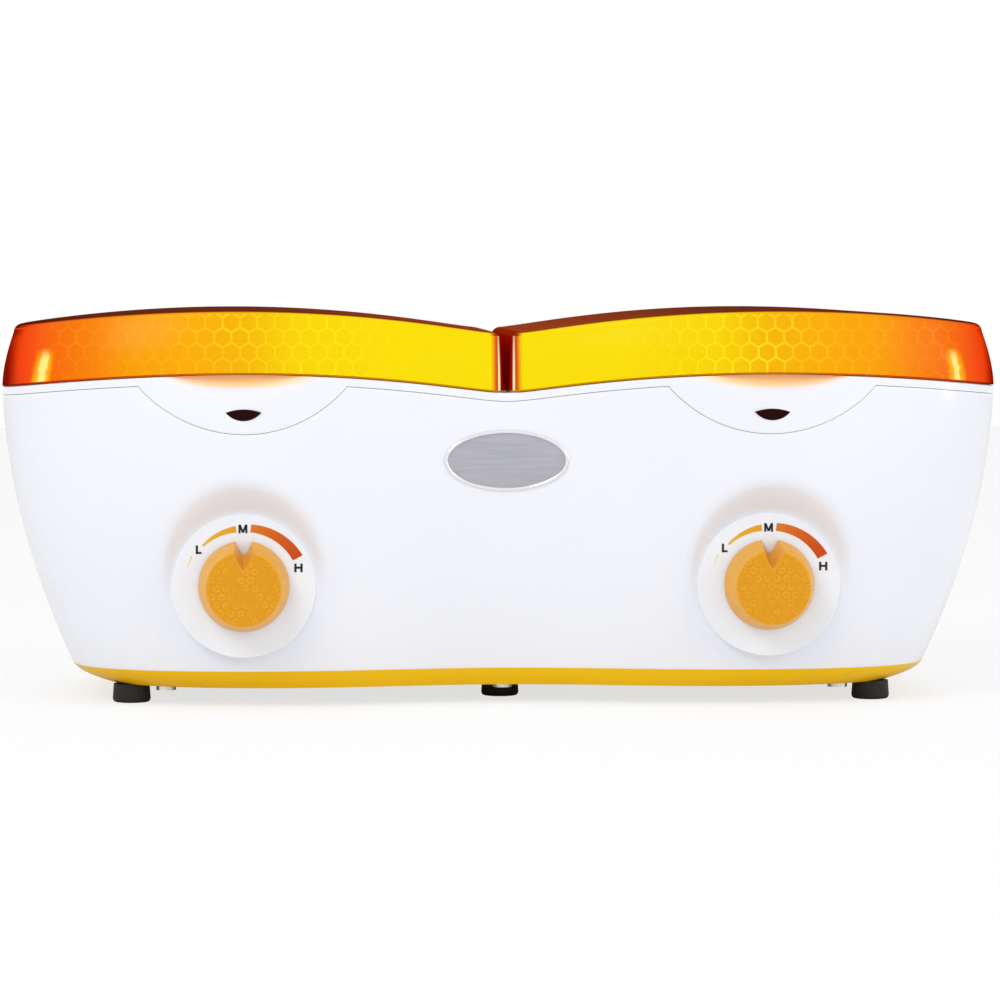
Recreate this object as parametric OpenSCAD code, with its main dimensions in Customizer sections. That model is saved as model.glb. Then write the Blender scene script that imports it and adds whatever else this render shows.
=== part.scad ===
// Double wax warmer: two heated wells side by side in one waisted housing, each under its own
// see-through lid and with its own rotary thermostat and pilot light.
// Millimetres, +Z up, the front faces -Y. The origin is on the table, under the middle of the
// overall width and depth.

/* [Body] */
// Width of the housing across its widest line
body_w = 387; // [370:1:410]
// Depth of the housing across its two lobes
body_d = 200; // [195:1:210]
// How far the front and the back draw in at the middle
waist = 20; // [12:1:24]
// Exponent of the rounded plan outline: higher is squarer
corner = 4; // [3.6:0.1:4.8]
// Height of the widest line above the table
wide_z = 118; // [114:1:120]
// How far each end draws in between the widest line and the base
end_flare = 26.6; // [22:0.1:31]
// How far the front and the back draw in between the widest line and the base
front_flare = 18; // [14:1:20]
// Place of each well, dial and hinge, as a share of the half width
lobe_share = 0.515; // [0.505:0.005:0.52]
// Wall thickness of the housing
wall = 2.5; // [2:0.1:3]

/* [Base tray and feet] */
// Height of the tray's flank between its underside and the shell
tray_h = 6.7; // [6:0.1:9]
// How far the tray's flank draws in at the ends
tray_chamfer = 11; // [7:0.5:13]
// Thickness of the tray's floor
tray_t = 2.5; // [2:0.1:3]
// Height of the locating lip that stands inside the shell
lip_h = 4; // [2:0.5:6]
// Height of a rubber foot below the tray
foot_h = 7.1; // [5:0.1:10]
// Radius of a rubber foot
foot_r = 7.3; // [6:0.1:9]
// Distance of the outer feet in from the body's ends
foot_in = 50.5; // [50.5:0.5:62]
// Distance of the outer feet in from the body's front and back
foot_side = 50; // [50:1:54]
// Distance of the two middle feet in from the waist's wall
mid_foot_in = 35.6; // [30:0.2:45]
// Length of a vent slot in the tray
vent_l = 34; // [20:1:44]
// Width of a vent slot in the tray
vent_w = 3; // [2:0.1:4]

/* [Deck] */
// Height of the deck's crowns above the table
deck_z = 126.6; // [125:0.2:131]
// Fall of the deck from a crown to the middle
sag_in = 8.5; // [6:0.1:9.5]
// Fall of the deck from a crown to the outer end
sag_out = 5.6; // [4:0.1:8]
// Height of the rim that shows between the lids and the shell
rim_h = 3.1; // [2.8:0.1:5]
// Open line between the rim and the shell
seam_gap = 0.4; // [0.3:0.1:0.6]
// Radius of the apron's lower edge
apron_r = 51.6; // [46:0.1:58]
// Depth of the apron below the crown
apron_drop = 22.2; // [20:0.2:26]
// Thickness of the apron
apron_t = 5; // [4.5:0.1:6]
// Half width of the finger scoop at the lid's edge
scoop_half = 35; // [28:1:38]
// Depth of the finger scoop under the lid's edge
scoop_in = 5; // [4.2:0.1:5.5]
// Height of the finger scoop
scoop_h = 7.2; // [6:0.1:9]
// Depth of the drip pan below the crown
pan_depth = 12.2; // [11:0.1:13]
// Thickness of the pan's floor and walls
pan_t = 2.5; // [2:0.1:3]
// Width of the ledge that the lid stands on
ledge_w = 9; // [8:0.1:11]
// Radius of a pillar
pillar_r = 4.5; // [4:0.1:5]
// Distance of the outer pillars outside the axis of their well
pillar_out = 30; // [26:1:34]
// Gap between an outer pillar and the jacket round the well
pillar_gap = 1; // [0.6:0.1:1.6]
// Distance of the two middle pillars in from the waist's wall
mid_pillar_in = 18; // [14:0.5:22]

/* [Lids] */
// Gap between the two lids at the deck
lid_gap = 2.4; // [2:0.1:4]
// Height of a lid's crown above the deck's crown
lid_h = 24.4; // [22:0.1:30]
// Fall of a lid's roof from its crown to the middle
roof_in = 10.2; // [7:0.1:11]
// Fall of a lid's roof from its crown to the outer end
roof_out = 6.8; // [5:0.1:9]
// Distance of a lid's crown outside the axis of its well
crown_out = 5; // [0:0.5:8]
// Wall thickness of a lid
lid_t = 2.2; // [1.8:0.1:2.8]
// How far a lid's outer walls lean in over its height
lid_lean = 4.4; // [3:0.1:6]
// How far a lid's inner wall leans in over its height
lid_lean_in = 0.8; // [0.4:0.1:1.5]
// Radius of the edge round a lid's roof
lid_edge_r = 3; // [2:0.1:4]
// Radius of a lid's inner corners
lid_corner_r = 4; // [3:0.1:6]
// Gap between the lid and the deck it rests on
lid_rest = 0.3; // [0.2:0.05:0.5]

/* [Hinges] */
// Radius of a hinge pin
pin_r = 1.5; // [1.2:0.1:1.8]
// Radius of a hinge knuckle
knuckle_r = 3.4; // [3.2:0.1:3.6]
// Width of the lid's middle knuckle
knuckle_w = 36; // [24:1:44]
// Width of a deck ear
ear_w = 5; // [4:0.1:7]
// Side gap between a knuckle and an ear
knuckle_gap = 0.4; // [0.3:0.1:0.8]
// Gap between a knuckle and the deck's back edge
hinge_gap = 0.8; // [0.6:0.1:1.5]
// Depth of the hinge axis below the deck's crown
hinge_drop = 1.6; // [1:0.1:1.9]

/* [Wells] */
// Inside radius of a heating well
well_r = 50; // [46:0.5:51]
// Wall thickness of a well
well_t = 1.5; // [1:0.1:2]
// Inside depth of a well below its flange
well_depth = 80; // [70:1:86]
// Width of a well's flange
flange_w = 11; // [9:0.5:13]
// Radius of the bend between a well's wall and its floor
well_bend = 8; // [5:0.5:12]
// Thickness of a heater band
band_t = 1.4; // [1:0.1:1.6]
// Height of a heater band
band_h = 34; // [24:1:40]
// Thickness of an insulating jacket
jacket_t = 3; // [2:0.1:3.2]
// Height of an insulating jacket
jacket_h = 56; // [46:1:62]

/* [Dials and knobs] */
// Height of the dials above the table
dial_z = 46.7; // [44:0.1:50]
// Radius of a dial's face
dial_r = 27.3; // [25:0.1:29]
// How far a dial's face lies behind the wall at its centre
dial_sink = 2.8; // [2:0.1:4]
// Length of the cylinder behind a dial's face
pod_l = 11; // [9:0.5:12]
// Radius of a knob at its back
knob_r = 17.2; // [15:0.1:20]
// Radius of a knob's face
knob_face_r = 14.2; // [13:0.1:16]
// Length of a knob
knob_l = 16; // [14:0.1:18]
// Gap between a knob and its dial
knob_gap = 1; // [0.6:0.1:1.5]
// Half width of the knob's notch at the rim
notch_half = 3.8; // [2.5:0.1:4.2]
// Length over which the notch widens from its tip
notch_flare = 6.5; // [5:0.1:8]
// Distance of the notch's tip from the axis at the face
notch_tip = 6.2; // [6:0.1:7.5]
// Distance of the notch's tip from the axis at the back
notch_tip_back = 11.8; // [11.6:0.1:14]
// Radius of the thermostat's shaft
shaft_r = 3; // [2.5:0.1:3.2]
// Radius of the thermostat's threaded bush
bush_r = 4.5; // [4.2:0.1:5]
// Width across the flats of the thermostat's nut
nut_af = 13; // [12:0.5:14]
// Radius of a thermostat's body
stat_r = 17; // [14:0.5:19]
// Depth of a thermostat's body
stat_l = 15; // [12:0.5:16]

/* [Pilot lights] */
// Half width of a pilot lens
lens_half = 6.8; // [6:0.1:8]
// Fall of a pilot lens below its corners
lens_fall = 3.2; // [2.8:0.1:3.8]
// Rise of a pilot lens above its corners
lens_rise = 1.2; // [0.8:0.1:1.6]
// Depth of the lens's corners below the deck's crown
lens_drop = 14; // [13.5:0.1:16]
// Radius of a pilot lamp
lamp_r = 2.6; // [2:0.1:2.8]
// Length of a pilot lamp
lamp_l = 14; // [10:0.5:16]

/* [Badge] */
// Half width of the oval badge
badge_a = 23.7; // [20:0.1:28]
// Half height of the oval badge
badge_b = 11.8; // [10:0.1:14]
// Height of the badge above the table
badge_z = 93.8; // [90:0.2:98]
// Width of the badge's rim
badge_rim = 1.6; // [1.2:0.1:2.4]
// How far the badge lies in the wall
badge_sink = 0.8; // [0.6:0.1:1]
// How far the badge's rim stands proud
badge_proud = 0.9; // [0.6:0.1:1.4]

/* [Fasteners and cord entry] */
// Radius of a housing screw
screw_r = 1.9; // [1.5:0.1:2.2]
// Radius of a housing screw's head
head_r = 3.8; // [3.4:0.1:4.2]
// Length of a housing screw below its head
screw_l = 16; // [12:1:22]
// Radius of the bore that the mains cord passes through
cord_r = 3.6; // [3:0.1:4.2]
// Height of the cord gland above the table
gland_z = 30; // [27:1:36]
// Length of the cord gland
gland_l = 12; // [10:0.5:16]

/* [Terminal block] */
// Pitch of the terminal block's three poles
block_pitch = 11; // [10:0.5:12]
// Depth of the terminal block from front to back
block_d = 16; // [14:0.5:18]
// Height of the terminal block
block_h = 14; // [12:0.5:16]

/* [Hidden] */

fit = 0.05;              // running fit between a shaft and its hole, on the radius
slip = 0.25;             // clearance between moulded pieces that slide together
flush = 0.04;            // sinks a face so that it never lies in another's plane
stations = 44;           // points along one side of the plan outline
corner_steps = 4;        // steps round a lid's inner corner
lid_stations = 24;       // points along one side of a lid, past its inner corner
levels = 6;              // steps up the shell's wall
first_slope = 0.21;      // share of the flare that a straight slope gives
waist_span = 0.38;       // reach of the waist, as a share of the half width
valley_soft = 8;         // rounds the deck's valley between its two crowns
fine = 96;               // facets of a large round surface

half_w = body_w / 2;
half_d = body_d / 2;
lobe_x = half_w * lobe_share;
crown_x = lobe_x + crown_out;
tray_z = foot_h;
shell_z = foot_h + tray_h;
roof_z = deck_z + lid_h;
pan_z = deck_z - pan_depth;
sides = [-1, 1];

// Plan outline
// Crowds the points of a side into its corners, where the outline bends most.
function crowd(u) = u + 7 * sin(4 * u);
// Point of the unit outline, a square with rounded corners, in the direction u.
function unit(u) =
    let (c = cos(u), s = sin(u),
         k = pow(pow(abs(c), corner) + pow(abs(s), corner), -1 / corner))
    [k * c, k * s];
// Share of the depth that the waist leaves at a share of the half width.
function waisted(share) = 1 - waist / half_d * exp(-pow(abs(share) / waist_span, 2));
// Share of the flare taken at a height.
function drawn(z) =
    let (s = max(0, (wide_z - z) / (wide_z - shell_z)))
    s * (first_slope + (1 - first_slope) * s);
function reach_x(z) = half_w - end_flare * drawn(z);
function reach_y(z) = half_d - front_flare * drawn(z);
// Distance of the outer wall from the middle line at a place along the width.
function wall_y(x, z) =
    let (share = x / reach_x(z))
    reach_y(z) * pow(1 - pow(abs(share), corner), 1 / corner) * waisted(share);
// How much the wall leans at a height: the draw-in per millimetre of height.
function lean(z) = wall_y(0, z + 1) - wall_y(0, z);

// Heights that follow the two crowns
function side_x(x) = sqrt(x * x + valley_soft * valley_soft);
function fall(x, inner, outer, crown, end) =
    let (s = side_x(x))
    s < crown ? inner * pow((crown - s) / crown, 2) : outer * pow((s - crown) / (end - crown), 2);
function deck_top(x) = deck_z - fall(x, sag_in, sag_out, lobe_x, half_w);
function seam(x) = deck_top(x) - rim_h;
// Height of the deck's top as its flat facets give it, so that a lid keeps an even gap to them.
deck_steps = [for (i = [0 : stations - 1])
    let (x = half_w * unit(crowd(180 - (i + 0.5) * 180 / stations)).x)
    [x, deck_top(x)]];
function deck_facet(x) = lookup(x, deck_steps);
function roof_top(x) = roof_z - fall(x, roof_in, roof_out, crown_x, half_w);

// One ring of points round the body: the front from left to right, then the back.
// height gives z from the place along the width, and grow moves the ring outwards.
function mirrored_ring(side) = concat(
    [for (p = side) [p.x, -p.y, p.z]],
    [for (i = [len(side) - 1 : -1 : 0]) side[i]]);
function body_ring(height, grow = 0, grow_x = 0) = mirrored_ring([
    for (i = [0 : stations - 1])
        let (p = unit(crowd(180 - (i + 0.5) * 180 / stations)),
             z = height(p.x * half_w))
        [(reach_x(z) + grow + grow_x) * p.x, (reach_y(z) + grow) * p.y * waisted(p.x), z]]);
// One ring of points round the right lid's plan, moved in by inset and, at its inner wall, inset_in.
function lid_ring(height, inset, inset_in) =
    let (a = half_w - inset, b = half_d - inset, x0 = lid_gap / 2 + inset_in,
         r = max(1, lid_corner_r - max(0, inset_in - lid_lean_in)),
         start = acos((x0 + r) / a), yb = b * waisted((x0 + r) / a) * unit(start).y)
    mirrored_ring(concat(
        [for (i = [0 : corner_steps - 1])
            let (t = 180 - i * 90 / corner_steps, x = x0 + r + r * cos(t))
            [x, yb - r + r * sin(t), height(x)]],
        [for (i = [0 : lid_stations - 1])
            let (u = start * (1 - i / (lid_stations - 0.5)),
                 p = unit(u + 7 * sin(4 * u) * (1 - u / start) * u / 90 * 2))
            [a * p.x, b * p.y * waisted(p.x), height(a * p.x)]]));

// Skins a list of rings. The two ends are closed with quads from the front to the back, or, with
// loop, the last ring is joined to the first.
module skin(rings, loop = false) {
    n = len(rings[0]);
    last = len(rings) - 1;
    bands = loop ? last : last - 1;
    half = n / 2;
    faces = concat(
        [for (k = [0 : bands], i = [0 : n - 1], t = [0, 1])
            let (j = (i + 1) % n, m = (k + 1) % (last + 1))
            t == 0 ? [k * n + i, m * n + i, m * n + j] : [k * n + i, m * n + j, k * n + j]],
        loop ? [] : [for (i = [0 : half - 2]) [i, i + 1, n - 2 - i, n - 1 - i]],
        loop ? [] : [for (i = [0 : half - 2])
            [last * n + i, last * n + n - 1 - i, last * n + n - 2 - i, last * n + i + 1]]);
    polyhedron(points = [for (r = rings) each r], faces = faces, convexity = 8);
}

// Places of the pieces that repeat
dial_y = dial_sink - wall_y(lobe_x, dial_z);
dial_groove = 0.8;
dial_draft = 49;
apron_y = -wall_y(lobe_x, deck_z - apron_drop);
apron_z = deck_z - apron_drop + apron_r;
pin_y = wall_y(lobe_x, deck_z) + hinge_gap + knuckle_r;
pin_z = deck_z - hinge_drop;
root_y = wall_y(lobe_x - knuckle_w / 2, deck_z) - lid_t / 2;
lid_z = deck_z + lid_rest;
ear_x = knuckle_w / 2 + knuckle_gap + ear_w / 2;
floor_z = foot_h + tray_t;
well_out = well_r + well_t;
band_in = well_out + fit;
jacket_in = band_in + band_t + fit;
foot_x = half_w - foot_in;
foot_y = half_d - foot_side;
waist_y = wall_y(0, shell_z);
mid_foot_y = waist_y - mid_foot_in;
pillar_x = lobe_x + pillar_out;
pillar_y = sqrt(pow(jacket_in + jacket_t + pillar_gap + pillar_r, 2) - pow(pillar_out, 2));
mid_pillar_y = waist_y - mid_pillar_in;
feet = [for (y = [-1, 1]) each [[-foot_x, y * foot_y], [0, y * mid_foot_y], [foot_x, y * foot_y]]];
pillars = concat(
    [for (x = sides, y = sides) [x * pillar_x, y * pillar_y]],
    [for (y = sides) [0, y * mid_pillar_y]]);
stem_r = 2.6;
nut_h = 2.6;
bush_out = 3.8;
socket_r = nut_af / 2 / cos(30) + 1;
shaft_out = knob_gap + knob_l - 4;
shaft_in = wall + stat_l - 3;
boss_r = 10;
boss_t = 7;
boss_y = wall_y(0, gland_z + boss_r);
neck_r = cord_r + 2;
badge_y = -wall_y(0, badge_z);
badge_tilt = atan(lean(badge_z));
badge_curve = pow(waist_span * reach_x(badge_z), 2) / (2 * waist) * half_d / reach_y(badge_z);
lamp_z = pan_z - pan_t - lamp_r - 0.5;

// Puts its children on a dial's axis: x to the right, y up and z towards the front
module on_dial(side)
    translate([side * lobe_x, dial_y, dial_z])
        rotate([90, 0, 0])
            children();

// Puts its children at the middle of the badge, square to the leaning wall
module on_badge()
    translate([0, badge_y, badge_z])
        rotate([90 + badge_tilt, 0, 0])
            children();

// A cylinder along the width, centred on the hinge pin's line
module along_pin(r, length)
    translate([0, pin_y, pin_z])
        rotate([0, 90, 0])
            cylinder(r = r, h = length, center = true, $fn = fine);

// A profile in the plane of depth and height, drawn out along the width
module across(length)
    rotate([90, 0, 90])
        linear_extrude(height = length, center = true)
            children();

module mirrored(side)
    mirror([side < 0 ? 1 : 0, 0, 0])
        children();

// Envelope of the housing between two heights that follow the width
module envelope(bottom, top, grow = 0, steps = levels)
    skin([for (k = [0 : steps])
        body_ring(function(x) bottom(x) + (top(x) - bottom(x)) * k / steps, grow)]);

// Everything inside a lid's plan, moved in from the housing's outline
module lid_plug(bottom, top, inset)
    skin([for (h = [bottom, top]) lid_ring(h, inset, inset - lid_gap / 2)]);

module apron_disc(r, depth)
    translate([0, apron_y - 5, apron_z])
        rotate([-90, 0, 0])
            cylinder(r = r, h = depth + 5, $fn = fine * 2);

// The finger scoop is a spherical bowl that meets the lid's edge and the wall at set widths.
module scoop_bowl() {
    plan_r = (pow(scoop_half, 2) + pow(scoop_in, 2)) / (2 * scoop_in);
    wall_r = (pow(scoop_half, 2) + pow(scoop_h, 2)) / (2 * scoop_h);
    rise = wall_r - scoop_h;
    translate([lobe_x, -wall_y(lobe_x, deck_z) - plan_r + scoop_in, deck_z + rise])
        sphere(r = norm([plan_r, rise]), $fn = fine);
}

// Half-moon outline of the pilot lens: a deep arc below and a shallow one above
module half_moon(grow = 0) {
    low = (pow(lens_half, 2) + pow(lens_fall, 2)) / (2 * lens_fall);
    high = (pow(lens_half, 2) + pow(lens_rise, 2)) / (2 * lens_rise);
    intersection() {
        translate([0, low - lens_fall])
            circle(r = low + grow, $fn = fine);
        translate([0, lens_rise - high])
            circle(r = high + grow, $fn = fine);
    }
}

module lens_body(front, back, grow = 0)
    translate([lobe_x, 0, deck_z - lens_drop])
        rotate([90, 0, 0])
            translate([0, 0, -apron_y - back])
                linear_extrude(height = back + front)
                    half_moon(grow);

module oval(a, b)
    polygon([for (i = [0 : 47]) [a * cos(i * 7.5), b * sin(i * 7.5)]]);

// A slice of the badge's curved wall, from front to back of the housing's surface there
module curved_slice(front, back)
    rotate([-90, 0, 0])
        translate([0, -badge_curve, 0])
            difference() {
                cylinder(r = badge_curve + back, h = 3 * badge_b, center = true, $fn = 360);
                cylinder(r = badge_curve - front, h = 4 * badge_b, center = true, $fn = 360);
            }

module base_tray() {
    low = reach_x(shell_z) - tray_chamfer - reach_x(foot_h);
    color([0.97, 0.76, 0.05])
    difference() {
        union() {
            skin([for (t = [0, 0.15, 0.45, 1])
                body_ring(function(x) foot_h + tray_h * t, -2 * (1 - t) * (1 - t),
                    low * (1 - t) * (1 - t))]);
            envelope(function(x) shell_z - 1, function(x) shell_z + lip_h, -wall - slip, 1);
        }
        skin([
            body_ring(function(x) floor_z, -2 * wall - slip, 0.4 * low),
            body_ring(function(x) shell_z, -2 * wall - slip),
            body_ring(function(x) shell_z + lip_h + 1, -2 * wall - slip)]);
        for (side = sides) {
            on_dial(side)
                translate([0, 0, -pod_l - slip])
                    cylinder(r = dial_r + slip, h = 4 * pod_l, $fn = fine);
            for (k = [-3 : 3])
                translate([side * lobe_x + k * 3 * vent_w, 0, foot_h - 1])
                    linear_extrude(height = tray_t + 2)
                        square([vent_w, vent_l], center = true);
        }
        for (p = pillars)
            translate([p.x, p.y, foot_h - 1])
                cylinder(r = screw_r + slip, h = tray_t + 2, $fn = 32);
        for (p = feet)
            translate([p.x, p.y, foot_h - 1])
                cylinder(r = stem_r + slip / 2, h = tray_t + 2, $fn = 32);
    }
}

module main_shell() {
    cup_r = dial_r + dial_groove;
    spread = 30;
    color([0.96, 0.95, 0.93])
    difference() {
        union() {
            envelope(function(x) shell_z, function(x) seam(x) - seam_gap);
            for (side = sides)
                on_dial(side)
                    translate([0, 0, -pod_l])
                        cylinder(r = dial_r, h = pod_l, $fn = fine);
            translate([0, boss_y, gland_z])
                rotate([90, 0, 0])
                    cylinder(r = boss_r, h = boss_t, $fn = fine);
        }
        difference() {
            envelope(function(x) shell_z - 1, function(x) seam(x) + 1, -wall, 3);
            for (side = sides)
                on_dial(side) {
                    translate([0, 0, -wall])
                        cylinder(r1 = cup_r + wall / 2, r2 = cup_r + wall / 2 + spread * tan(dial_draft),
                            h = spread, $fn = fine);
                    translate([0, 0, -pod_l])
                        cylinder(r = dial_r, h = pod_l, $fn = fine);
                }
            translate([0, boss_y, gland_z])
                rotate([90, 0, 0])
                    cylinder(r = boss_r, h = boss_t, $fn = fine);
        }
        for (side = sides) {
            on_dial(side) {
                cylinder(r1 = cup_r, r2 = cup_r + spread * tan(dial_draft), h = spread, $fn = fine);
                translate([0, 0, -dial_groove * 1.5])
                    difference() {
                        cylinder(r = cup_r, h = 2 * dial_groove, $fn = fine);
                        cylinder(r = dial_r, h = 4 * dial_groove, center = true, $fn = fine);
                    }
                translate([0, 0, -pod_l - 1])
                    cylinder(r = dial_r - wall, h = pod_l + 1 - wall, $fn = fine);
                translate([0, 0, -wall - 1])
                    cylinder(r = bush_r + slip, h = wall + 2, $fn = fine);
            }
            translate([side * lobe_x, 0, 0])
                apron_disc(apron_r + seam_gap, 40);
        }
        translate([0, boss_y + 1, gland_z])
            rotate([90, 0, 0])
                cylinder(r = neck_r + slip, h = boss_t + 10, $fn = fine);
        on_badge()
            intersection() {
                linear_extrude(height = 30, center = true)
                    oval(badge_a + slip, badge_b + slip);
                curved_slice(10, badge_sink);
            }
    }
}

module top_deck() {
    color([0.96, 0.95, 0.93])
    difference() {
        union() {
            envelope(function(x) seam(x), function(x) deck_top(x), 0, 1);
            for (side = sides) {
                mirrored(side)
                    lid_plug(function(x) pan_z - pan_t, function(x) seam(x) + 1, ledge_w - pan_t);
                intersection() {
                    difference() {
                        envelope(function(x) pan_z - 30, function(x) seam(x) + 1, 0, 2);
                        envelope(function(x) pan_z - 31, function(x) seam(x) + 2, -apron_t, 1);
                    }
                    translate([side * lobe_x, 0, 0])
                        apron_disc(apron_r, 40);
                }
                for (k = sides)
                    translate([side * lobe_x + k * ear_x, 0, 0])
                        across(ear_w) {
                            translate([pin_y, pin_z])
                                circle(r = knuckle_r, $fn = fine);
                            polygon([
                                [root_y, seam(lobe_x) + 0.3], [root_y, deck_z - 0.6],
                                [pin_y - 0.94 * knuckle_r, pin_z + 0.3 * knuckle_r], [pin_y, pin_z],
                                [pin_y - 1, pin_z - knuckle_r + 0.2]]);
                        }
            }
            for (p = pillars)
                translate([p.x, p.y, floor_z])
                    cylinder(r = pillar_r, h = (p.x == 0 ? seam(0) + 1 : pan_z - 1) - floor_z,
                        $fn = fine);
        }
        for (side = sides) {
            mirrored(side) {
                lid_plug(function(x) pan_z, function(x) deck_z + 5, ledge_w);
                scoop_bowl();
                lens_body(5, apron_t + 1, slip / 2);
            }
            translate([side * lobe_x, 0, pan_z - pan_t - 1])
                cylinder(r = well_out + slip, h = pan_t + 2, $fn = fine);
            translate([side * lobe_x, 0, 0])
                along_pin(pin_r + fit, 2 * (ear_x + ear_w));
        }
        for (p = pillars)
            translate([p.x, p.y, floor_z - 1])
                cylinder(r = screw_r + fit, h = screw_l, $fn = 32);
    }
}

module lid(side) {
    rise = function(x) roof_top(x) - deck_facet(x) - lid_rest - lid_edge_r;
    color([0.98, 0.62, 0.10])
    difference() {
        union() {
            mirrored(side)
                skin(concat(
                    [for (t = [0, 0.45, 0.75])
                        lid_ring(function(x) deck_facet(x) + lid_rest + rise(x) * t,
                            lid_lean * pow(t, 1.7), lid_lean_in * t)],
                    [for (a = [0 : 30 : 90])
                        lid_ring(function(x) roof_top(x) - lid_edge_r * (1 - sin(a)),
                            lid_lean + lid_edge_r * (1 - cos(a)),
                            lid_lean_in + lid_edge_r * (1 - cos(a)))]));
            translate([side * lobe_x, 0, 0])
                across(knuckle_w) {
                    translate([pin_y, pin_z])
                        circle(r = knuckle_r, $fn = fine);
                    polygon([
                        [root_y, lid_z], [root_y, lid_z + 7], [pin_y + 0.8, pin_z + knuckle_r - 0.1],
                        [pin_y, pin_z], [pin_y - knuckle_r, lid_z]]);
                }
        }
        mirrored(side)
            skin(concat(
                [for (t = [-0.1, 0.45])
                    lid_ring(function(x) deck_facet(x) + lid_rest + rise(x) * t,
                        lid_t + lid_lean * pow(max(0, t), 1.7), lid_t + lid_lean_in * max(0, t))],
                [for (a = [0 : 45 : 90])
                    lid_ring(function(x) roof_top(x) - lid_t - lid_edge_r / 2 * (1 - sin(a)),
                        lid_t + lid_lean + lid_edge_r / 2 * (1 - cos(a)),
                        lid_t + lid_lean_in + lid_edge_r / 2 * (1 - cos(a)))]));
        translate([side * lobe_x, 0, 0])
            along_pin(pin_r + fit, 2 * knuckle_w);
    }
}
module left_lid() lid(-1);
module right_lid() lid(1);

// The pin has a head at its inner end and is peened over at the other.
module hinge_pin(side) {
    half = ear_x + ear_w / 2;
    color([0.75, 0.76, 0.78])
    mirrored(side)
        translate([lobe_x - half, pin_y, pin_z])
            rotate([0, 90, 0]) {
                cylinder(r = pin_r, h = 2 * half + 0.6, $fn = fine);
                translate([0, 0, -1])
                    cylinder(r = pin_r + 0.9, h = 1, $fn = fine);
            }
}
module left_hinge_pin() hinge_pin(-1);
module right_hinge_pin() hinge_pin(1);

// A spun aluminium pot: flange, wall, bend and floor in one section
module well(side) {
    deep = -well_depth;
    color([0.80, 0.81, 0.83])
    translate([side * lobe_x, 0, pan_z])
        rotate_extrude($fn = fine)
            difference() {
                union() {
                    square([well_r + flange_w, well_t]);
                    translate([0, deep + well_bend - well_t])
                        square([well_out, -deep - well_bend + 2 * well_t]);
                    translate([0, deep - well_t])
                        square([well_out - well_bend, well_bend + 1]);
                    intersection() {
                        translate([well_out - well_bend, deep + well_bend - well_t])
                            circle(r = well_bend, $fn = fine);
                        square([3 * well_out, 6 * well_depth], center = true);
                    }
                }
                translate([-1, deep + well_bend])
                    square([well_r + 1, -deep]);
                translate([-1, deep])
                    square([well_r - well_bend + 1 + well_t, well_bend + 1]);
                translate([well_r - well_bend + well_t, deep + well_bend - well_t + well_t])
                    circle(r = well_bend - well_t, $fn = fine);
                translate([-2 * well_out, deep - well_depth])
                    square([2 * well_out, 3 * well_depth]);
            }
}
module left_well() well(-1);
module right_well() well(1);

module ring(side, bottom, height, inner, thickness)
    translate([side * lobe_x, 0, bottom])
        difference() {
            cylinder(r = inner + thickness, h = height, $fn = fine);
            translate([0, 0, -1])
                cylinder(r = inner, h = height + 2, $fn = fine);
        }

// The heater band is a split sleeve that springs on to the well.
module heater_band(side) {
    bottom = pan_z - well_depth + well_bend + 2;
    color([0.62, 0.60, 0.56])
    difference() {
        ring(side, bottom, band_h, band_in, band_t);
        translate([side * lobe_x - 1, 0, bottom - 1])
            cube([2, 2 * well_out, band_h + 2]);
    }
}
module left_heater_band() heater_band(-1);
module right_heater_band() heater_band(1);

module jacket(side) {
    bottom = pan_z - well_depth + well_bend + 2 + (band_h - jacket_h) / 2;
    color([0.88, 0.86, 0.78])
    ring(side, bottom, jacket_h, jacket_in, jacket_t);
}
module left_jacket() jacket(-1);
module right_jacket() jacket(1);

// The thermostat's round body lies behind the dial, with its threaded bush through the wall.
module thermostat(side) {
    color([0.20, 0.20, 0.22])
    on_dial(side)
        difference() {
            union() {
                translate([0, 0, -wall - stat_l])
                    cylinder(r = stat_r, h = stat_l, $fn = fine);
                translate([0, 0, -wall - 1])
                    cylinder(r = bush_r, h = wall + 1 + bush_out, $fn = fine);
                for (k = sides)
                    translate([k * 7 - 2, -stat_r - 5, -wall - stat_l])
                        cube([4, 8, 1]);
            }
            translate([0, 0, -shaft_in - 0.5])
                cylinder(r = shaft_r + fit, h = shaft_in + bush_out + 1, $fn = fine);
        }
}
module left_thermostat() thermostat(-1);
module right_thermostat() thermostat(1);

// The shaft has a flat on the part that the knob grips.
module flatted(length, grow = 0)
    difference() {
        cylinder(r = shaft_r + grow, h = length, $fn = fine);
        translate([-shaft_r - 1, -3 * shaft_r * 0.85 - grow, bush_out])
            cube([2 * shaft_r + 2, 2 * shaft_r * 0.85, length]);
    }
module thermostat_shaft(side)
    color([0.78, 0.78, 0.80])
    on_dial(side) {
        flatted(shaft_out);
        translate([0, 0, -shaft_in])
            cylinder(r = shaft_r, h = shaft_in, $fn = fine);
    }
module left_thermostat_shaft() thermostat_shaft(-1);
module right_thermostat_shaft() thermostat_shaft(1);

module thermostat_nut(side)
    color([0.80, 0.76, 0.55])
    on_dial(side)
        difference() {
            cylinder(r = nut_af / 2 / cos(30), h = nut_h, $fn = 6);
            translate([0, 0, -1])
                cylinder(r = bush_r + fit, h = nut_h + 2, $fn = fine);
        }
module left_thermostat_nut() thermostat_nut(-1);
module right_thermostat_nut() thermostat_nut(1);

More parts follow.
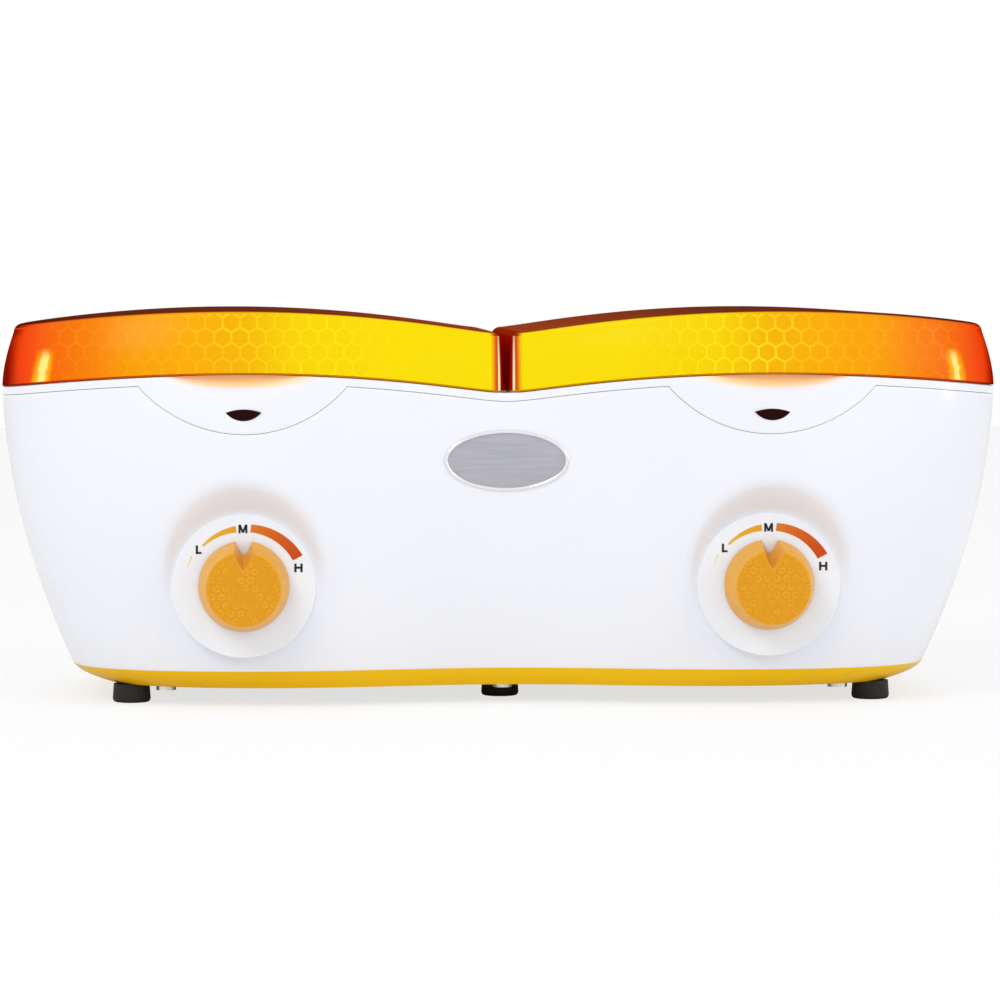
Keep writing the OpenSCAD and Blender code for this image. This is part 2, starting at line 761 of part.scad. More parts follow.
// The knob is a drafted drum with a rounded edge and a slanted notch for a pointer.
module knob(side) {
    edge = 0.8;
    dome = 0.7;
    steps = 8;
    top = knob_gap + knob_l;
    slant = atan((notch_tip_back - notch_tip) / knob_l);
    notch_w = function(share)
        notch_half * pow(min(1, share * knob_r / notch_flare), 0.85);
    color([0.93, 0.65, 0.12])
    on_dial(side)
        difference() {
            rotate_extrude($fn = fine * 1.5)
                polygon(concat(
                    [[0, knob_gap], [knob_r, knob_gap]],
                    [for (i = [0 : steps])
                        let (a = i * 90 / steps)
                        [knob_face_r - edge + edge * cos(a), top - dome - edge + edge * sin(a)]],
                    [[(knob_face_r - edge) / 2, top - dome / 4], [0, top]]));
            translate([0, 0, knob_gap - 1])
                cylinder(r = socket_r, h = bush_out + 0.8 - knob_gap + 1, $fn = fine);
            flatted(shaft_out + 0.3, fit / 2);
            translate([0, notch_tip_back, knob_gap])
                rotate([slant, 0, 0])
                    translate([0, 0, -knob_l])
                        linear_extrude(height = 4 * knob_l)
                            polygon(concat(
                                [for (i = [0 : steps]) [-notch_w(i / steps), knob_r * i / steps]],
                                [for (i = [steps : -1 : 1]) [notch_w(i / steps), knob_r * i / steps]]));
        }
}
module left_knob() knob(-1);
module right_knob() knob(1);

module pilot_lens(side)
    color([0.45, 0.05, 0.03])
    mirrored(side)
        lens_body(0.4, apron_t - 0.4);
module left_pilot_lens() pilot_lens(-1);
module right_pilot_lens() pilot_lens(1);

// A neon lamp in a short holder with two wire tails
module pilot_lamp(side)
    color([0.95, 0.55, 0.35])
    translate([side * lobe_x, apron_y + apron_t + 2 * slip, lamp_z])
        rotate([-90, 0, 0]) {
            cylinder(r = lamp_r, h = lamp_l, $fn = fine);
            for (k = sides)
                translate([k * lamp_r / 2, 0, lamp_l - 1])
                    cylinder(r = 0.5, h = 6, $fn = 24);
        }
module left_pilot_lamp() pilot_lamp(-1);
module right_pilot_lamp() pilot_lamp(1);

module badge_plate()
    color([0.80, 0.80, 0.82])
    on_badge()
        intersection() {
            linear_extrude(height = 30, center = true)
                oval(badge_a - badge_rim - slip / 2, badge_b - badge_rim - slip / 2);
            curved_slice(0.1, badge_sink - flush);
        }

module badge_rim()
    color([0.72, 0.72, 0.74])
    on_badge()
        intersection() {
            linear_extrude(height = 30, center = true)
                difference() {
                    oval(badge_a, badge_b);
                    oval(badge_a - badge_rim, badge_b - badge_rim);
                }
            curved_slice(badge_proud, badge_sink - flush);
        }

// A push-in rubber foot: pad, stem and the button that holds it above the tray's floor
module foot(place)
    color([0.10, 0.10, 0.10])
    translate([place.x, place.y, 0])
        rotate_extrude($fn = fine)
            polygon([
                [0, 0], [foot_r - 1.2, 0], [foot_r - 0.3, 0.5], [foot_r, 1.4], [foot_r - 0.4, foot_h],
                [stem_r, foot_h], [stem_r, floor_z], [stem_r + 0.8, floor_z],
                [stem_r - 0.6, floor_z + 2], [0, floor_z + 2]]);
module front_left_foot() foot(feet[0]);
module front_middle_foot() foot(feet[1]);
module front_right_foot() foot(feet[2]);
module rear_left_foot() foot(feet[3]);
module rear_middle_foot() foot(feet[4]);
module rear_right_foot() foot(feet[5]);

module housing_screws() {
    head_h = 2.2;
    color([0.70, 0.71, 0.73])
    for (p = pillars)
        translate([p.x, p.y, foot_h])
            difference() {
                union() {
                    cylinder(r = screw_r, h = screw_l, $fn = 32);
                    translate([0, 0, -head_h])
                        cylinder(r = head_r, h = head_h, $fn = fine);
                }
                for (turn = [0, 90])
                    rotate([0, 0, turn])
                        translate([-head_r * 0.6, -0.5, -head_h - 1])
                            cube([head_r * 1.2, 1, 2.2]);
            }
}

// A three-pole terminal strip that stands on the tray, with a clamp screw over each entry
module terminal_block() {
    size = [3.3 * block_pitch, block_d, block_h];
    edge = 0.15 * block_pitch;
    color([0.90, 0.90, 0.86])
    translate([-size.x / 2, 0, floor_z])
        difference() {
            cube(size);
            for (k = [0 : 2]) {
                translate([edge + (k + 0.5) * block_pitch, -1, 0.36 * block_h])
                    rotate([-90, 0, 0])
                        cylinder(r = block_pitch / 5, h = size.y + 2, $fn = 32);
                translate([edge + (k + 0.5) * block_pitch, size.y / 2, 0.57 * block_h])
                    cylinder(r = block_pitch / 4, h = size.z, $fn = 32);
            }
            for (k = [1, 2])
                translate([k * block_pitch + edge / 2, -1, 0.64 * block_h])
                    cube([edge, size.y + 2, size.z]);
        }
}

// The gland grips the boss in the rear wall: a collar outside and a snap ridge inside
module cord_gland() {
    out = gland_l - boss_t - 1.8;
    color([0.12, 0.12, 0.12])
    translate([0, boss_y, gland_z])
        rotate([-90, 0, 0])
            rotate_extrude($fn = fine)
                polygon([
                    [cord_r, -boss_t - 1.8], [neck_r - 0.5, -boss_t - 1.8],
                    [neck_r + 0.9, -boss_t - 0.3], [neck_r, -boss_t - 0.2], [neck_r, 0],
                    [neck_r + 2.4, 0], [neck_r + 2.4, out / 2], [neck_r, out], [cord_r, out]]);
}

base_tray();
main_shell();
top_deck();
left_lid();
right_lid();
left_hinge_pin();
right_hinge_pin();
left_well();
right_well();
left_heater_band();
right_heater_band();
left_jacket();
right_jacket();
left_thermostat();
right_thermostat();
left_thermostat_shaft();
right_thermostat_shaft();
left_thermostat_nut();
right_thermostat_nut();
left_knob();
right_knob();
left_pilot_lens();
right_pilot_lens();
left_pilot_lamp();
right_pilot_lamp();
badge_plate();
badge_rim();
front_left_foot();
front_middle_foot();
front_right_foot();
rear_left_foot();
rear_middle_foot();
rear_right_foot();
housing_screws();
terminal_block();
cord_gland();
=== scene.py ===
import math

import bmesh
import bpy
import numpy as np
from mathutils import Euler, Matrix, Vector


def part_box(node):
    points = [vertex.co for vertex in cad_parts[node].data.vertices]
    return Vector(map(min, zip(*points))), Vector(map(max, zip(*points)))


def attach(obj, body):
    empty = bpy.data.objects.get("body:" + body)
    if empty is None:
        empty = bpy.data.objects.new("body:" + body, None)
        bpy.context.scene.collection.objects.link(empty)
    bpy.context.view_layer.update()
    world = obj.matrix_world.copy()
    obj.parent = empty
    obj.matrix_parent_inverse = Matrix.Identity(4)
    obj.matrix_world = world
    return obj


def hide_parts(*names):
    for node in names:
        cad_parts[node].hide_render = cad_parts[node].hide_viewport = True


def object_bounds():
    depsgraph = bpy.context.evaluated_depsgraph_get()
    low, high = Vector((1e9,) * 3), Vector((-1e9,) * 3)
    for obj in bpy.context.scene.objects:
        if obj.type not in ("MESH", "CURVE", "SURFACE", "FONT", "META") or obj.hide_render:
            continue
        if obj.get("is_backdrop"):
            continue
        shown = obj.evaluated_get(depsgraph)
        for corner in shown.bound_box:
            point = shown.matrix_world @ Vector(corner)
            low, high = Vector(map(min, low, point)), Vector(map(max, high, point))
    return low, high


# A double wax warmer: a white waisted housing with two amber lids, two golden knobs and a yellow
# base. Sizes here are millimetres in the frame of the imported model; MM turns them into metres.
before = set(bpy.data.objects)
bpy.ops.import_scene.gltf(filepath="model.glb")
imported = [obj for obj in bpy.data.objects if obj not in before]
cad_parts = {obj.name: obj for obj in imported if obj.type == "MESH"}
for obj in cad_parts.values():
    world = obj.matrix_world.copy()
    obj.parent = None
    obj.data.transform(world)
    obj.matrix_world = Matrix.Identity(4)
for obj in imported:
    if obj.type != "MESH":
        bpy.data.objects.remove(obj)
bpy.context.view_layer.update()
MM = 0.001

# Camera
# It stands a little left of the middle and just above the lids, and looks slightly down. The place
# comes from a fit of the object's measured corners to the photograph's frame.
camera_place = (-92.4, -1780.0, 165.6)
camera_yaw = 3.025
camera_pitch = 2.917
camera_lens = 161.8
camera_data = bpy.data.cameras.new("camera")
camera_data.lens = camera_lens
camera_data.sensor_width = 36
camera_data.clip_end = 50
camera = bpy.data.objects.new("camera", camera_data)
camera.location = Vector(camera_place) * MM
camera.rotation_euler = Euler(
    (math.radians(90 - camera_pitch), 0, math.radians(-camera_yaw)))
bpy.context.scene.collection.objects.link(camera)
bpy.context.scene.camera = camera
bpy.context.scene.view_settings.view_transform = "Standard"


class Signal:
    """A socket of a material's node tree, with arithmetic. Sums and products add their nodes."""

    def __init__(self, tree, socket=None):
        self.tree = tree
        self.socket = socket

    def node(self, kind, settings=None, sockets=None, out=0):
        made = self.tree.nodes.new("ShaderNode" + kind)
        for name, value in (settings or {}).items():
            if name == "stops":
                ramp = made.color_ramp
                ramp.elements[0].position, ramp.elements[0].color = value[0][0], (*value[0][1], 1)
                ramp.elements[1].position, ramp.elements[1].color = value[-1][0], (*value[-1][1], 1)
                for place, colour in value[1:-1]:
                    ramp.elements.new(place).color = (*colour, 1)
            else:
                setattr(made, name, value)
        for name, value in (sockets or {}).items():
            self.feed(made.inputs[name], value)
        return Signal(self.tree, made.outputs[out])

    def feed(self, entry, value):
        if isinstance(value, Signal):
            self.tree.links.new(value.socket, entry)
        elif isinstance(value, tuple) and len(entry.default_value) == 4:
            entry.default_value = (*value, 1)
        else:
            entry.default_value = value

    def math(self, operation, *values):
        return self.node("Math", {"operation": operation}, dict(enumerate(values)))

    def __add__(self, other):
        return self.math("ADD", self, other)

    def __sub__(self, other):
        return self.math("SUBTRACT", self, other)

    def __rsub__(self, other):
        return self.math("SUBTRACT", other, self)

    def __mul__(self, other):
        return self.math("MULTIPLY", self, other)

    def __truediv__(self, other):
        return self.math("DIVIDE", self, other)

    __radd__ = __add__
    __rmul__ = __mul__

    def step(self, low, high):
        """0 below low, 1 above high, smooth between them."""
        return self.node("MapRange", {"interpolation_type": "SMOOTHSTEP"},
                         {"Value": self, "From Min": low, "From Max": high})

    def mix(self, first, second):
        """The first colour where this is 0, the second where it is 1."""
        return self.node("Mix", {"data_type": "RGBA"}, {0: self, 6: first, 7: second}, out=2)

    def place(self):
        """The spot on the piece, along its own three axes, in millimetres."""
        spot = self.node("TexCoord", out="Object")
        return [self.node("SeparateXYZ", {}, {0: spot}, out=axis) / MM for axis in range(3)]

    def turn(self):
        """Which way the surface faces, along the three axes."""
        facing = self.node("NewGeometry", out="Normal")
        return [self.node("SeparateXYZ", {}, {0: facing}, out=axis) for axis in range(3)]

    def noise(self, scale, detail=2.0, stretch=(1, 1, 1)):
        """Smooth noise at so many waves a metre along each axis of the piece."""
        place = self.node("TexCoord", out="Object")
        scaled = self.node("VectorMath", {"operation": "MULTIPLY"}, {0: place, 1: stretch})
        return self.node("TexNoise", {}, {"Vector": scaled, "Scale": scale, "Detail": detail})


def linear(red, green, blue):
    """A colour written in the usual 0 to 255 steps, as the shader's linear numbers."""
    return tuple(((v / 255 + 0.055) / 1.055) ** 2.4 if v > 10 else v / 3294.6
                 for v in (red, green, blue))


def finish(name, **constants):
    """A new material whose shader has these constant sockets, and its node tree as a Signal."""
    made = bpy.data.materials.new(name)
    made.use_nodes = True
    shader = made.node_tree.nodes["Principled BSDF"]
    signal = Signal(made.node_tree)
    for socket, value in constants.items():
        signal.feed(shader.inputs[socket.replace("_", " ")], value)
    return made, signal, shader.inputs


def relief(signal, inputs, height, distance):
    """Bumps the surface by a height signal, over a depth in metres."""
    signal.feed(inputs["Normal"], signal.node("Bump", {}, {"Height": height, "Distance": distance}))


# Room
# A plain pale floor under a plain white studio, with one soft lamp at the upper left, a weak one
# at the right, and a narrow one that draws the highlight down the right-hand end.
floor_half, floor_lift = 3000, 0.72
floor_mesh = bpy.data.meshes.new("floor")
floor_mesh.from_pydata([(x * floor_half * MM, y * floor_half * MM, 0)
                        for x, y in ((-1, -1), (1, -1), (1, 1), (-1, 1))], [], [(0, 1, 2, 3)])
floor = bpy.data.objects.new("floor", floor_mesh)
bpy.context.scene.collection.objects.link(floor)
floor_paint, tree, sockets = finish("floor_paint", Base_Color=(0.94, 0.94, 0.94), Roughness=0.9)
rays = tree.node("LightPath", out="Is Camera Ray")
glow = tree.node("Emission", {}, {"Color": (1.0, 1.0, 1.0), "Strength": 1.0})
shown = floor_paint.node_tree.nodes["Principled BSDF"].outputs[0]
cover = tree.node("MixShader", {}, {0: rays * floor_lift, 1: Signal(tree.tree, shown), 2: glow})
floor_paint.node_tree.links.new(
    cover.socket, floor_paint.node_tree.nodes["Material Output"].inputs["Surface"])
floor_mesh.materials.append(floor_paint)
floor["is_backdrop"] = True

ambient = 0.78
world = bpy.data.worlds.new("studio")
world.use_nodes = True
bpy.context.scene.world = world
sky = Signal(world.node_tree)
seen, shone, through = [sky.node("LightPath", out=f"Is {kind} Ray")
                        for kind in ("Camera", "Glossy", "Transmission")]
direct = sky.math("MAXIMUM", seen, sky.math("MAXIMUM", shone, through))
sky.feed(world.node_tree.nodes["Background"].inputs["Strength"], ambient + direct * (1 - ambient))
sky.feed(world.node_tree.nodes["Background"].inputs["Color"], (1.0, 1.0, 1.0))


def lamp(name, place, aim, width, height, watts):
    data = bpy.data.lights.new(name, "AREA")
    data.shape = "RECTANGLE"
    data.size, data.size_y = width * MM, height * MM
    data.energy = watts
    obj = bpy.data.objects.new(name, data)
    obj.location = Vector(place) * MM
    obj.rotation_euler = (Vector(aim) - Vector(place)).to_track_quat("-Z", "Y").to_euler()
    bpy.context.scene.collection.objects.link(obj)


lamp("key_lamp", (-900, -1300, 1250), (0, 0, 60), 800, 800, 10)
lamp("fill_lamp", (1300, -900, 700), (0, 0, 60), 700, 700, 2.6)
lamp("edge_lamp", (1500, -420, 420), (190, -60, 80), 120, 900, 1.9)

# Main shell
# The white moulded housing: waisted front and back, with ends that flare as they rise. It is one
# glossy plastic moulding with a soft-lipped conical recess round each thermostat dial.
overall = [(high - low) / MM for low, high in zip(*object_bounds())]
half_w = overall[0] / 2
half_d = 100.0
waist, waist_span, corner = 20.0, 0.38, 4.0
wide_z, end_flare, front_flare, first_slope = 118.0, 26.6, 18.0, 0.21
shell_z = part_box("main_shell")[0].z / MM
deck_z, sag_in, sag_out, rim_h, seam_gap = 126.6, 8.5, 5.6, 3.1, 0.2
lobe_x, valley_soft = half_w * 0.515, 8.0
wall = 2.5
dial_z, dial_r, dial_sink, dial_draft = 46.7, 27.3, 2.8, 49.0
apron_r, apron_drop = 51.6, 22.2


def drawn(z):
    fall = np.maximum(0, (wide_z - z) / (wide_z - shell_z))
    return fall * (first_slope + (1 - first_slope) * fall)


def reach_x(z):
    return half_w - end_flare * drawn(z)


def reach_y(z):
    return half_d - front_flare * drawn(z)


def waisted(share):
    return 1 - waist / half_d * np.exp(-(np.abs(share) / waist_span) ** 2)


def depth_share(share):
    return (1 - np.abs(share) ** corner) ** (1 / corner) * waisted(share)


def wall_y(x, z):
    return reach_y(z) * depth_share(x / reach_x(z))


def arch(x, inner, outer, crown, end):
    side = np.sqrt(x * x + valley_soft ** 2)
    return np.where(side < crown, inner * ((crown - side) / crown) ** 2,
                    outer * ((side - crown) / (end - crown)) ** 2)


def deck_top(x):
    return deck_z - arch(x, sag_in, sag_out, lobe_x, half_w)


def seam(x):
    return deck_top(x) - rim_h


def smooth_max(a, b, radius):
    near = np.maximum(radius - np.abs(a - b), 0) / radius
    return np.maximum(a, b) + near * near * radius / 4


def bulge(angle):
    """How far the rounded-square plan lies from its middle at an angle."""
    return np.power(np.cos(angle) ** 4 + np.sin(angle) ** 4, -0.25)


def end_shares(count):
    """Places along the width, as shares of it, that crowd towards the rounded end."""
    angle = np.radians((np.arange(count) + 0.5) * 45 / count)
    return np.cos(angle) * bulge(angle)


def front_shares(fine, coarse, ends, extra=()):
    """Stations from the left end to the right one, close together at the dials and aprons."""
    limit = end_shares(ends).min() * half_w
    fine_reach = 47
    places = list(extra) + [0.0]
    x = coarse / 2
    while x < limit - coarse / 2:
        places.append(x)
        x += fine if abs(x - lobe_x) < fine_reach else coarse
    places = sorted(set(round(abs(p), 4) for p in places))
    right = np.concatenate([np.array(places) / half_w, end_shares(ends)[::-1]])
    return np.concatenate([-right[::-1], right[1:]])


def build(name, points, faces, material, smooth_below=40):
    """A mesh object from points in millimetres, smooth except over edges sharper than an angle."""
    mesh = bpy.data.meshes.new(name)
    mesh.from_pydata([tuple(p) for p in np.asarray(points) * MM], [],
                     [list(map(int, f)) for f in faces])
    mesh.materials.append(material)
    obj = bpy.data.objects.new(name, mesh)
    bpy.context.scene.collection.objects.link(obj)
    soften(obj, smooth_below)
    return obj


def soften(obj, angle):
    obj.data.shade_smooth()
    obj.data.set_sharp_from_angle(angle=math.radians(angle))


def skin_faces(rings, count):
    """Quads between rings of so many points each, bottom ring first."""
    return [(k * count + i, k * count + j, (k + 1) * count + j, (k + 1) * count + i)
            for k in range(rings - 1) for i, j in zip(range(count), [*range(1, count), 0])]


def capped_faces(rings, count):
    """The same, with a face across the first ring and one across the last."""
    last = (rings - 1) * count
    return skin_faces(rings, count) + [list(range(count))[::-1], [last + i for i in range(count)]]


def settle(obj, *modifiers, angle=40):
    """Adds modifiers, given as a kind and its settings, and writes their result into the mesh."""
    for number, (kind, settings) in enumerate(modifiers):
        made = obj.modifiers.new(f"{kind.lower()}_{number}", kind)
        for name, value in settings.items():
            setattr(made, name, value)
    bpy.context.view_layer.update()
    solved = bpy.data.meshes.new_from_object(obj.evaluated_get(
        bpy.context.evaluated_depsgraph_get()))
    obj.modifiers.clear()
    obj.data = solved
    soften(obj, angle)
    return obj


def thicken(depth, edge=0.25):
    """Gives a skin its wall on the inner side, and rounds its cut edges."""
    return (("SOLIDIFY", {"thickness": depth * MM, "offset": -1, "use_even_offset": False}),
            ("BEVEL", {"width": edge * MM, "segments": 2, "limit_method": "ANGLE",
                       "angle_limit": math.radians(60)}))


def ring_points(shares, rear, height_front, height_rear=None, grow=0.0, grow_x=0.0):
    """One ring round the body: the front from left to right, then the back from right to left."""
    z = height_front(shares * half_w)
    front = np.stack([(reach_x(z) + grow + grow_x) * shares,
                      -(reach_y(z) + grow) * depth_share(shares), z], 1)
    z = (height_rear or height_front)(rear * half_w)
    back = np.stack([(reach_x(z) + grow + grow_x) * rear,
                     (reach_y(z) + grow) * depth_share(rear), z], 1)
    return np.concatenate([front, back[::-1]])


apron_z = deck_z - apron_drop + apron_r


def apron_line(x, radius):
    """Height of the apron's lower edge, or a great height where there is no apron."""
    side = np.abs(np.abs(x) - lobe_x)
    inside = side < radius
    return np.where(inside, apron_z - np.sqrt(np.where(inside, radius ** 2 - side ** 2, 0)), 1e3)


def apron_corners(radius, drop):
    """Places along the width where the apron's edge meets a line below the deck's rim."""
    x = np.linspace(0, half_w, 200001)
    above = apron_line(x, radius) - (seam(x) - drop)
    return [float(x[i]) for i in np.nonzero(above[1:] * above[:-1] < 0)[0]]


dial_y = dial_sink - float(wall_y(lobe_x, dial_z))
cup_r = dial_r + 0.8
cup_floor = 0.7
lip_soft = 2.2
shell_rows = 84
shares = front_shares(1.25, 4.0, 20, apron_corners(apron_r + seam_gap, seam_gap))
rear = front_shares(8.0, 8.0, 20)


def shell_top(x):
    return np.minimum(seam(x) - seam_gap, apron_line(x, apron_r + seam_gap))


rings = []
for t in np.linspace(0, 1, shell_rows):
    ring = ring_points(shares, rear, lambda x: shell_z + t * (shell_top(x) - shell_z),
                       lambda x: shell_z + t * (seam(x) - seam_gap - shell_z))
    near = ring[:len(shares)]
    away = np.hypot(np.abs(near[:, 0]) - lobe_x, near[:, 2] - dial_z)
    slope = np.logaddexp(0, (away - cup_r) / 0.8) * 0.8 / math.tan(math.radians(dial_draft))
    near[:, 1] = smooth_max(near[:, 1], dial_y + cup_floor - slope, lip_soft)
    rings.append(ring)
count = len(rings[0])
points = np.concatenate(rings)
away = np.hypot(np.abs(points[:, 0]) - lobe_x, points[:, 2] - dial_z)
hidden = (away < dial_r - 5) & (points[:, 1] < 0)
faces = [f for f in skin_faces(len(rings), count) if not all(hidden[list(f)])]


def glossy_white(name):
    """The housing's glossy white plastic, with its mottled colour for the caller to go on from."""
    made, tree, sockets = finish(name, Roughness=0.2, Specular_IOR_Level=0.5, Coat_Weight=0.25,
                                 Coat_Roughness=0.06)
    relief(tree, sockets, tree.noise(900, 2), 0.000012)
    return made, tree, sockets, tree.noise(14, 1).mix(linear(233, 235, 241), linear(238, 240, 246))


# A cooler, slightly darker white round the dials, on the front only: painted shade in and around their
# recesses
housing_white, tree, sockets, moulded = glossy_white("housing_white")
recess_shade_white = linear(229, 234, 244)
px, py, pz = tree.place()
aside = tree.math("ABSOLUTE", px) - lobe_x
away = tree.math("SQRT", aside * aside + (pz - dial_z) * (pz - dial_z))
near = (1 - away.step(24, 42)) * (1 - py.step(-60, -50))
tree.feed(sockets["Base Color"], near.mix(moulded, recess_shade_white))

main_shell = build("main_shell_skin", points, faces, housing_white)
settle(main_shell, *thicken(wall))
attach(main_shell, "housing")
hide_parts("main_shell")


def revolve(name, profile, place, material, turn=(0, 0, 0), steps=128, angle=35):
    """A closed solid of revolution: profile points are (radius, height) about its own axis."""
    ring = np.array(profile, float)
    spin = np.radians(np.arange(steps) * 360 / steps)
    points = [(r * math.cos(a), r * math.sin(a), h) for a in spin for r, h in ring]
    size = len(ring)
    faces = [(k * size + i, n * size + i, n * size + j, k * size + j)
             for k, n in zip(range(steps), [*range(1, steps), 0])
             for i, j in zip(range(size), [*range(1, size), 0])]
    spun = np.array(points) @ np.array(Euler([math.radians(t) for t in turn]).to_matrix()).T
    obj = build(name, spun + np.array(place), faces, material)
    clean = bmesh.new()
    clean.from_mesh(obj.data)
    bmesh.ops.remove_doubles(clean, verts=clean.verts, dist=1e-7)
    bmesh.ops.dissolve_degenerate(clean, edges=clean.edges, dist=1e-7)
    bmesh.ops.recalc_face_normals(clean, faces=clean.faces)
    clean.to_mesh(obj.data)
    clean.free()
    soften(obj, angle)
    return obj


def fillet(r, h, size, start, steps=5):
    """Points of a quarter round about (r, h), from a start angle in degrees, turning left."""
    return [(r + size * math.cos(math.radians(start + i * 90 / steps)),
             h + size * math.sin(math.radians(start + i * 90 / steps))) for i in range(steps + 1)]


# Dial faces and rear boss
# Flat round faces moulded into the shell. Each carries a thermostat in its middle, sunk in the
# recess at the top and standing proud at the bottom, where the wall falls away behind it. The rear
# boss is a smaller one of the same kind, for the cord's gland.
sides = (-1, "left"), (1, "right")
facing = (90, 0, 0)
pod_l, bush_hole = 11.0, 4.75
dial_white, tree, sockets = finish("dial_white", Roughness=0.24, Specular_IOR_Level=0.5)
tree.feed(sockets["Base Color"], tree.noise(40, 1).mix(linear(233, 237, 245), linear(236, 240, 247)))
for side, word in sides:
    pod = revolve(f"{word}_dial_face",
                  [(bush_hole, -wall), (dial_r - wall, -wall), (dial_r - wall, -pod_l),
                   (dial_r, -pod_l)] + fillet(dial_r - 0.5, -0.5, 0.5, 0) + [(bush_hole, 0)],
                  (side * lobe_x, dial_y, dial_z), dial_white, facing, 180)
    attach(pod, "housing")

gland_z, boss_r, boss_t, neck_hole = 30.0, 10.0, 7.0, 5.85
boss_y = float(wall_y(0, gland_z + boss_r))
boss = revolve("rear_cord_boss",
               [(neck_hole, -boss_t), (boss_r, -boss_t)] + fillet(boss_r - 0.6, -0.6, 0.6, 0)
               + [(neck_hole, 0)], (0, boss_y, gland_z), housing_white, (-90, 0, 0))
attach(boss, "housing")

# Printed heat scale
# Ink printed on each dial face: an arc that widens and darkens with the heat, broken for the
# generic marks L, M and H. Each print is a film a few hundredths of a millimetre thick.
ink_depth = 0.06
scale_black, tree, sockets = finish("scale_black", Roughness=0.45)
tree.feed(sockets["Base Color"], tree.noise(500).mix((0.004, 0.004, 0.005), (0.012, 0.012, 0.013)))
scale_colours, tree, sockets = finish("scale_colours", Roughness=0.45, Specular_IOR_Level=0.15)
px, py, pz = tree.place()
aside = (tree.math("ABSOLUTE", px) - lobe_x) * tree.math("SIGN", px)
angle = tree.math("ARCTAN2", aside, pz - dial_z) / math.pi + 0.5
tree.feed(sockets["Base Color"], tree.node("ValToRGB", {"stops": [
    (0.14, linear(232, 216, 90)), (0.25, linear(218, 186, 60)), (0.36, linear(224, 170, 44)),
    (0.49, linear(226, 152, 40)), (0.53, linear(216, 124, 38)), (0.66, linear(210, 98, 22)),
    (0.84, linear(198, 72, 14))]}, {0: angle}))


def dial_film(name, side, outline_pairs, faces, material):
    """A thin print on a dial face: points are right and up from its centre."""
    flat = np.array(outline_pairs, float)
    front = np.stack([flat[:, 0] + side * lobe_x,
                      np.full(len(flat), dial_y - ink_depth), flat[:, 1] + dial_z], 1)
    back = front + np.array([0, ink_depth, 0])
    size = len(flat)
    edges = [pair for f in faces for pair in zip(f, f[1:] + f[:1])]
    walls = [(b, a, a + size, b + size) for a, b in edges if (b, a) not in edges]
    solid = faces + [[i + size for i in f[::-1]] for f in faces] + walls
    film = build(name, np.concatenate([front, back]), solid, material)
    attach(film, "housing")


def scale_arc(start, stop, inner, outer):
    """An arc between two angles from the top, with its radii at each end."""
    steps = 24
    pairs = []
    for k in range(steps + 1):
        t = k / steps
        a = math.radians(start + (stop - start) * t)
        for pair in (inner, outer):
            r = pair[0] + (pair[1] - pair[0]) * t
            pairs.append((r * math.sin(a), r * math.cos(a)))
    return pairs, [[2 * k, 2 * k + 1, 2 * k + 3, 2 * k + 2] for k in range(steps)]


def letter(strokes, centre, height):
    """Bars between points on a grid one unit high, each a box of its own thickness."""
    pairs, faces = [], []
    for (x0, y0), (x1, y1), thick in strokes:
        length = math.hypot(x1 - x0, y1 - y0)
        nx, ny = -(y1 - y0) / length * thick / 2, (x1 - x0) / length * thick / 2
        base = len(pairs)
        for x, y in ((x0 + nx, y0 + ny), (x0 - nx, y0 - ny), (x1 - nx, y1 - ny), (x1 + nx, y1 + ny)):
            pairs.append((centre[0] + (x - 0.4) * height, centre[1] + (y - 0.5) * height))
        faces.append([base, base + 1, base + 2, base + 3])
    return pairs, faces


bar = 0.27
letter_h = 3.3

# Each mark has its strokes and its middle on the dial, and each arc its two angles from the top,
# then its inner and its outer radius at both ends
marks = {
    "low": ([((0.16, 1), (0.16, 0), bar), ((0.06, bar / 2), (0.70, bar / 2), bar * 0.85)],
            (-16.85, 13.85)),
    "middle": ([((0.02, 1), (0.02, 0), bar * 0.9), ((0.80, 1), (0.80, 0), bar * 0.9),
                ((0.06, 0.93), (0.41, 0.09), bar * 0.9), ((0.76, 0.93), (0.41, 0.09), bar * 0.9)],
               (-0.3, 21.65)),
    "high": ([((0.08, 1), (0.08, 0), bar), ((0.78, 1), (0.78, 0), bar),
              ((0.08, 0.53), (0.78, 0.53), bar * 0.9)], (20.55, 6.85))}
arcs = {"start": (-71, -60, (22.2, 22.3), (22.3, 22.8)),
        "cool": (-45.5, -7.5, (21.3, 20.5), (22.1, 23.0)),
        "hot": (7, 62.4, (20.5, 20.9), (23.5, 25.1))}
for side, word in sides:
    for part, sizes in arcs.items():
        dial_film(f"{word}_scale_{part}", side, *scale_arc(*sizes), scale_colours)
    for part, (strokes, centre) in marks.items():
        dial_film(f"{word}_mark_{part}", side, *letter(strokes, centre, letter_h), scale_black)

# Top deck
# The white moulded top: a rim that shows between the lids and the shell, two round aprons with a
# finger scoop over each, and under each lid a ledge and a sunk pan that holds the well. The scoops
# carry a painted orange glow, a painted reflection of the amber lids above them.
deck_white, tree, sockets, moulded = glossy_white("deck_white")
px, py, pz = tree.place()
painted_glow_half, painted_glow_fall = 29.0, 4.9
aside = (tree.math("ABSOLUTE", px) - lobe_x) / painted_glow_half
bowl = tree.math("SQRT", tree.math("MAXIMUM", 1 - aside * aside, 0.0))
# Painted glow: the scoops are tinted orange and given emission, standing for the lids' amber light
# reflected in them
glow = (pz + bowl * painted_glow_fall - deck_z).step(-0.9, 1.4) * (1 - py.step(-84, -80)) * bowl
glow = glow * (1 - tree.turn()[1].step(-0.5, -0.2))
tree.feed(sockets["Base Color"], (glow * 0.9).mix(moulded, linear(250, 200, 140)))
tree.feed(sockets["Emission Color"], glow.mix((0.0, 0.0, 0.0), linear(156, 116, 70)))
tree.feed(sockets["Emission Strength"], 1.0)

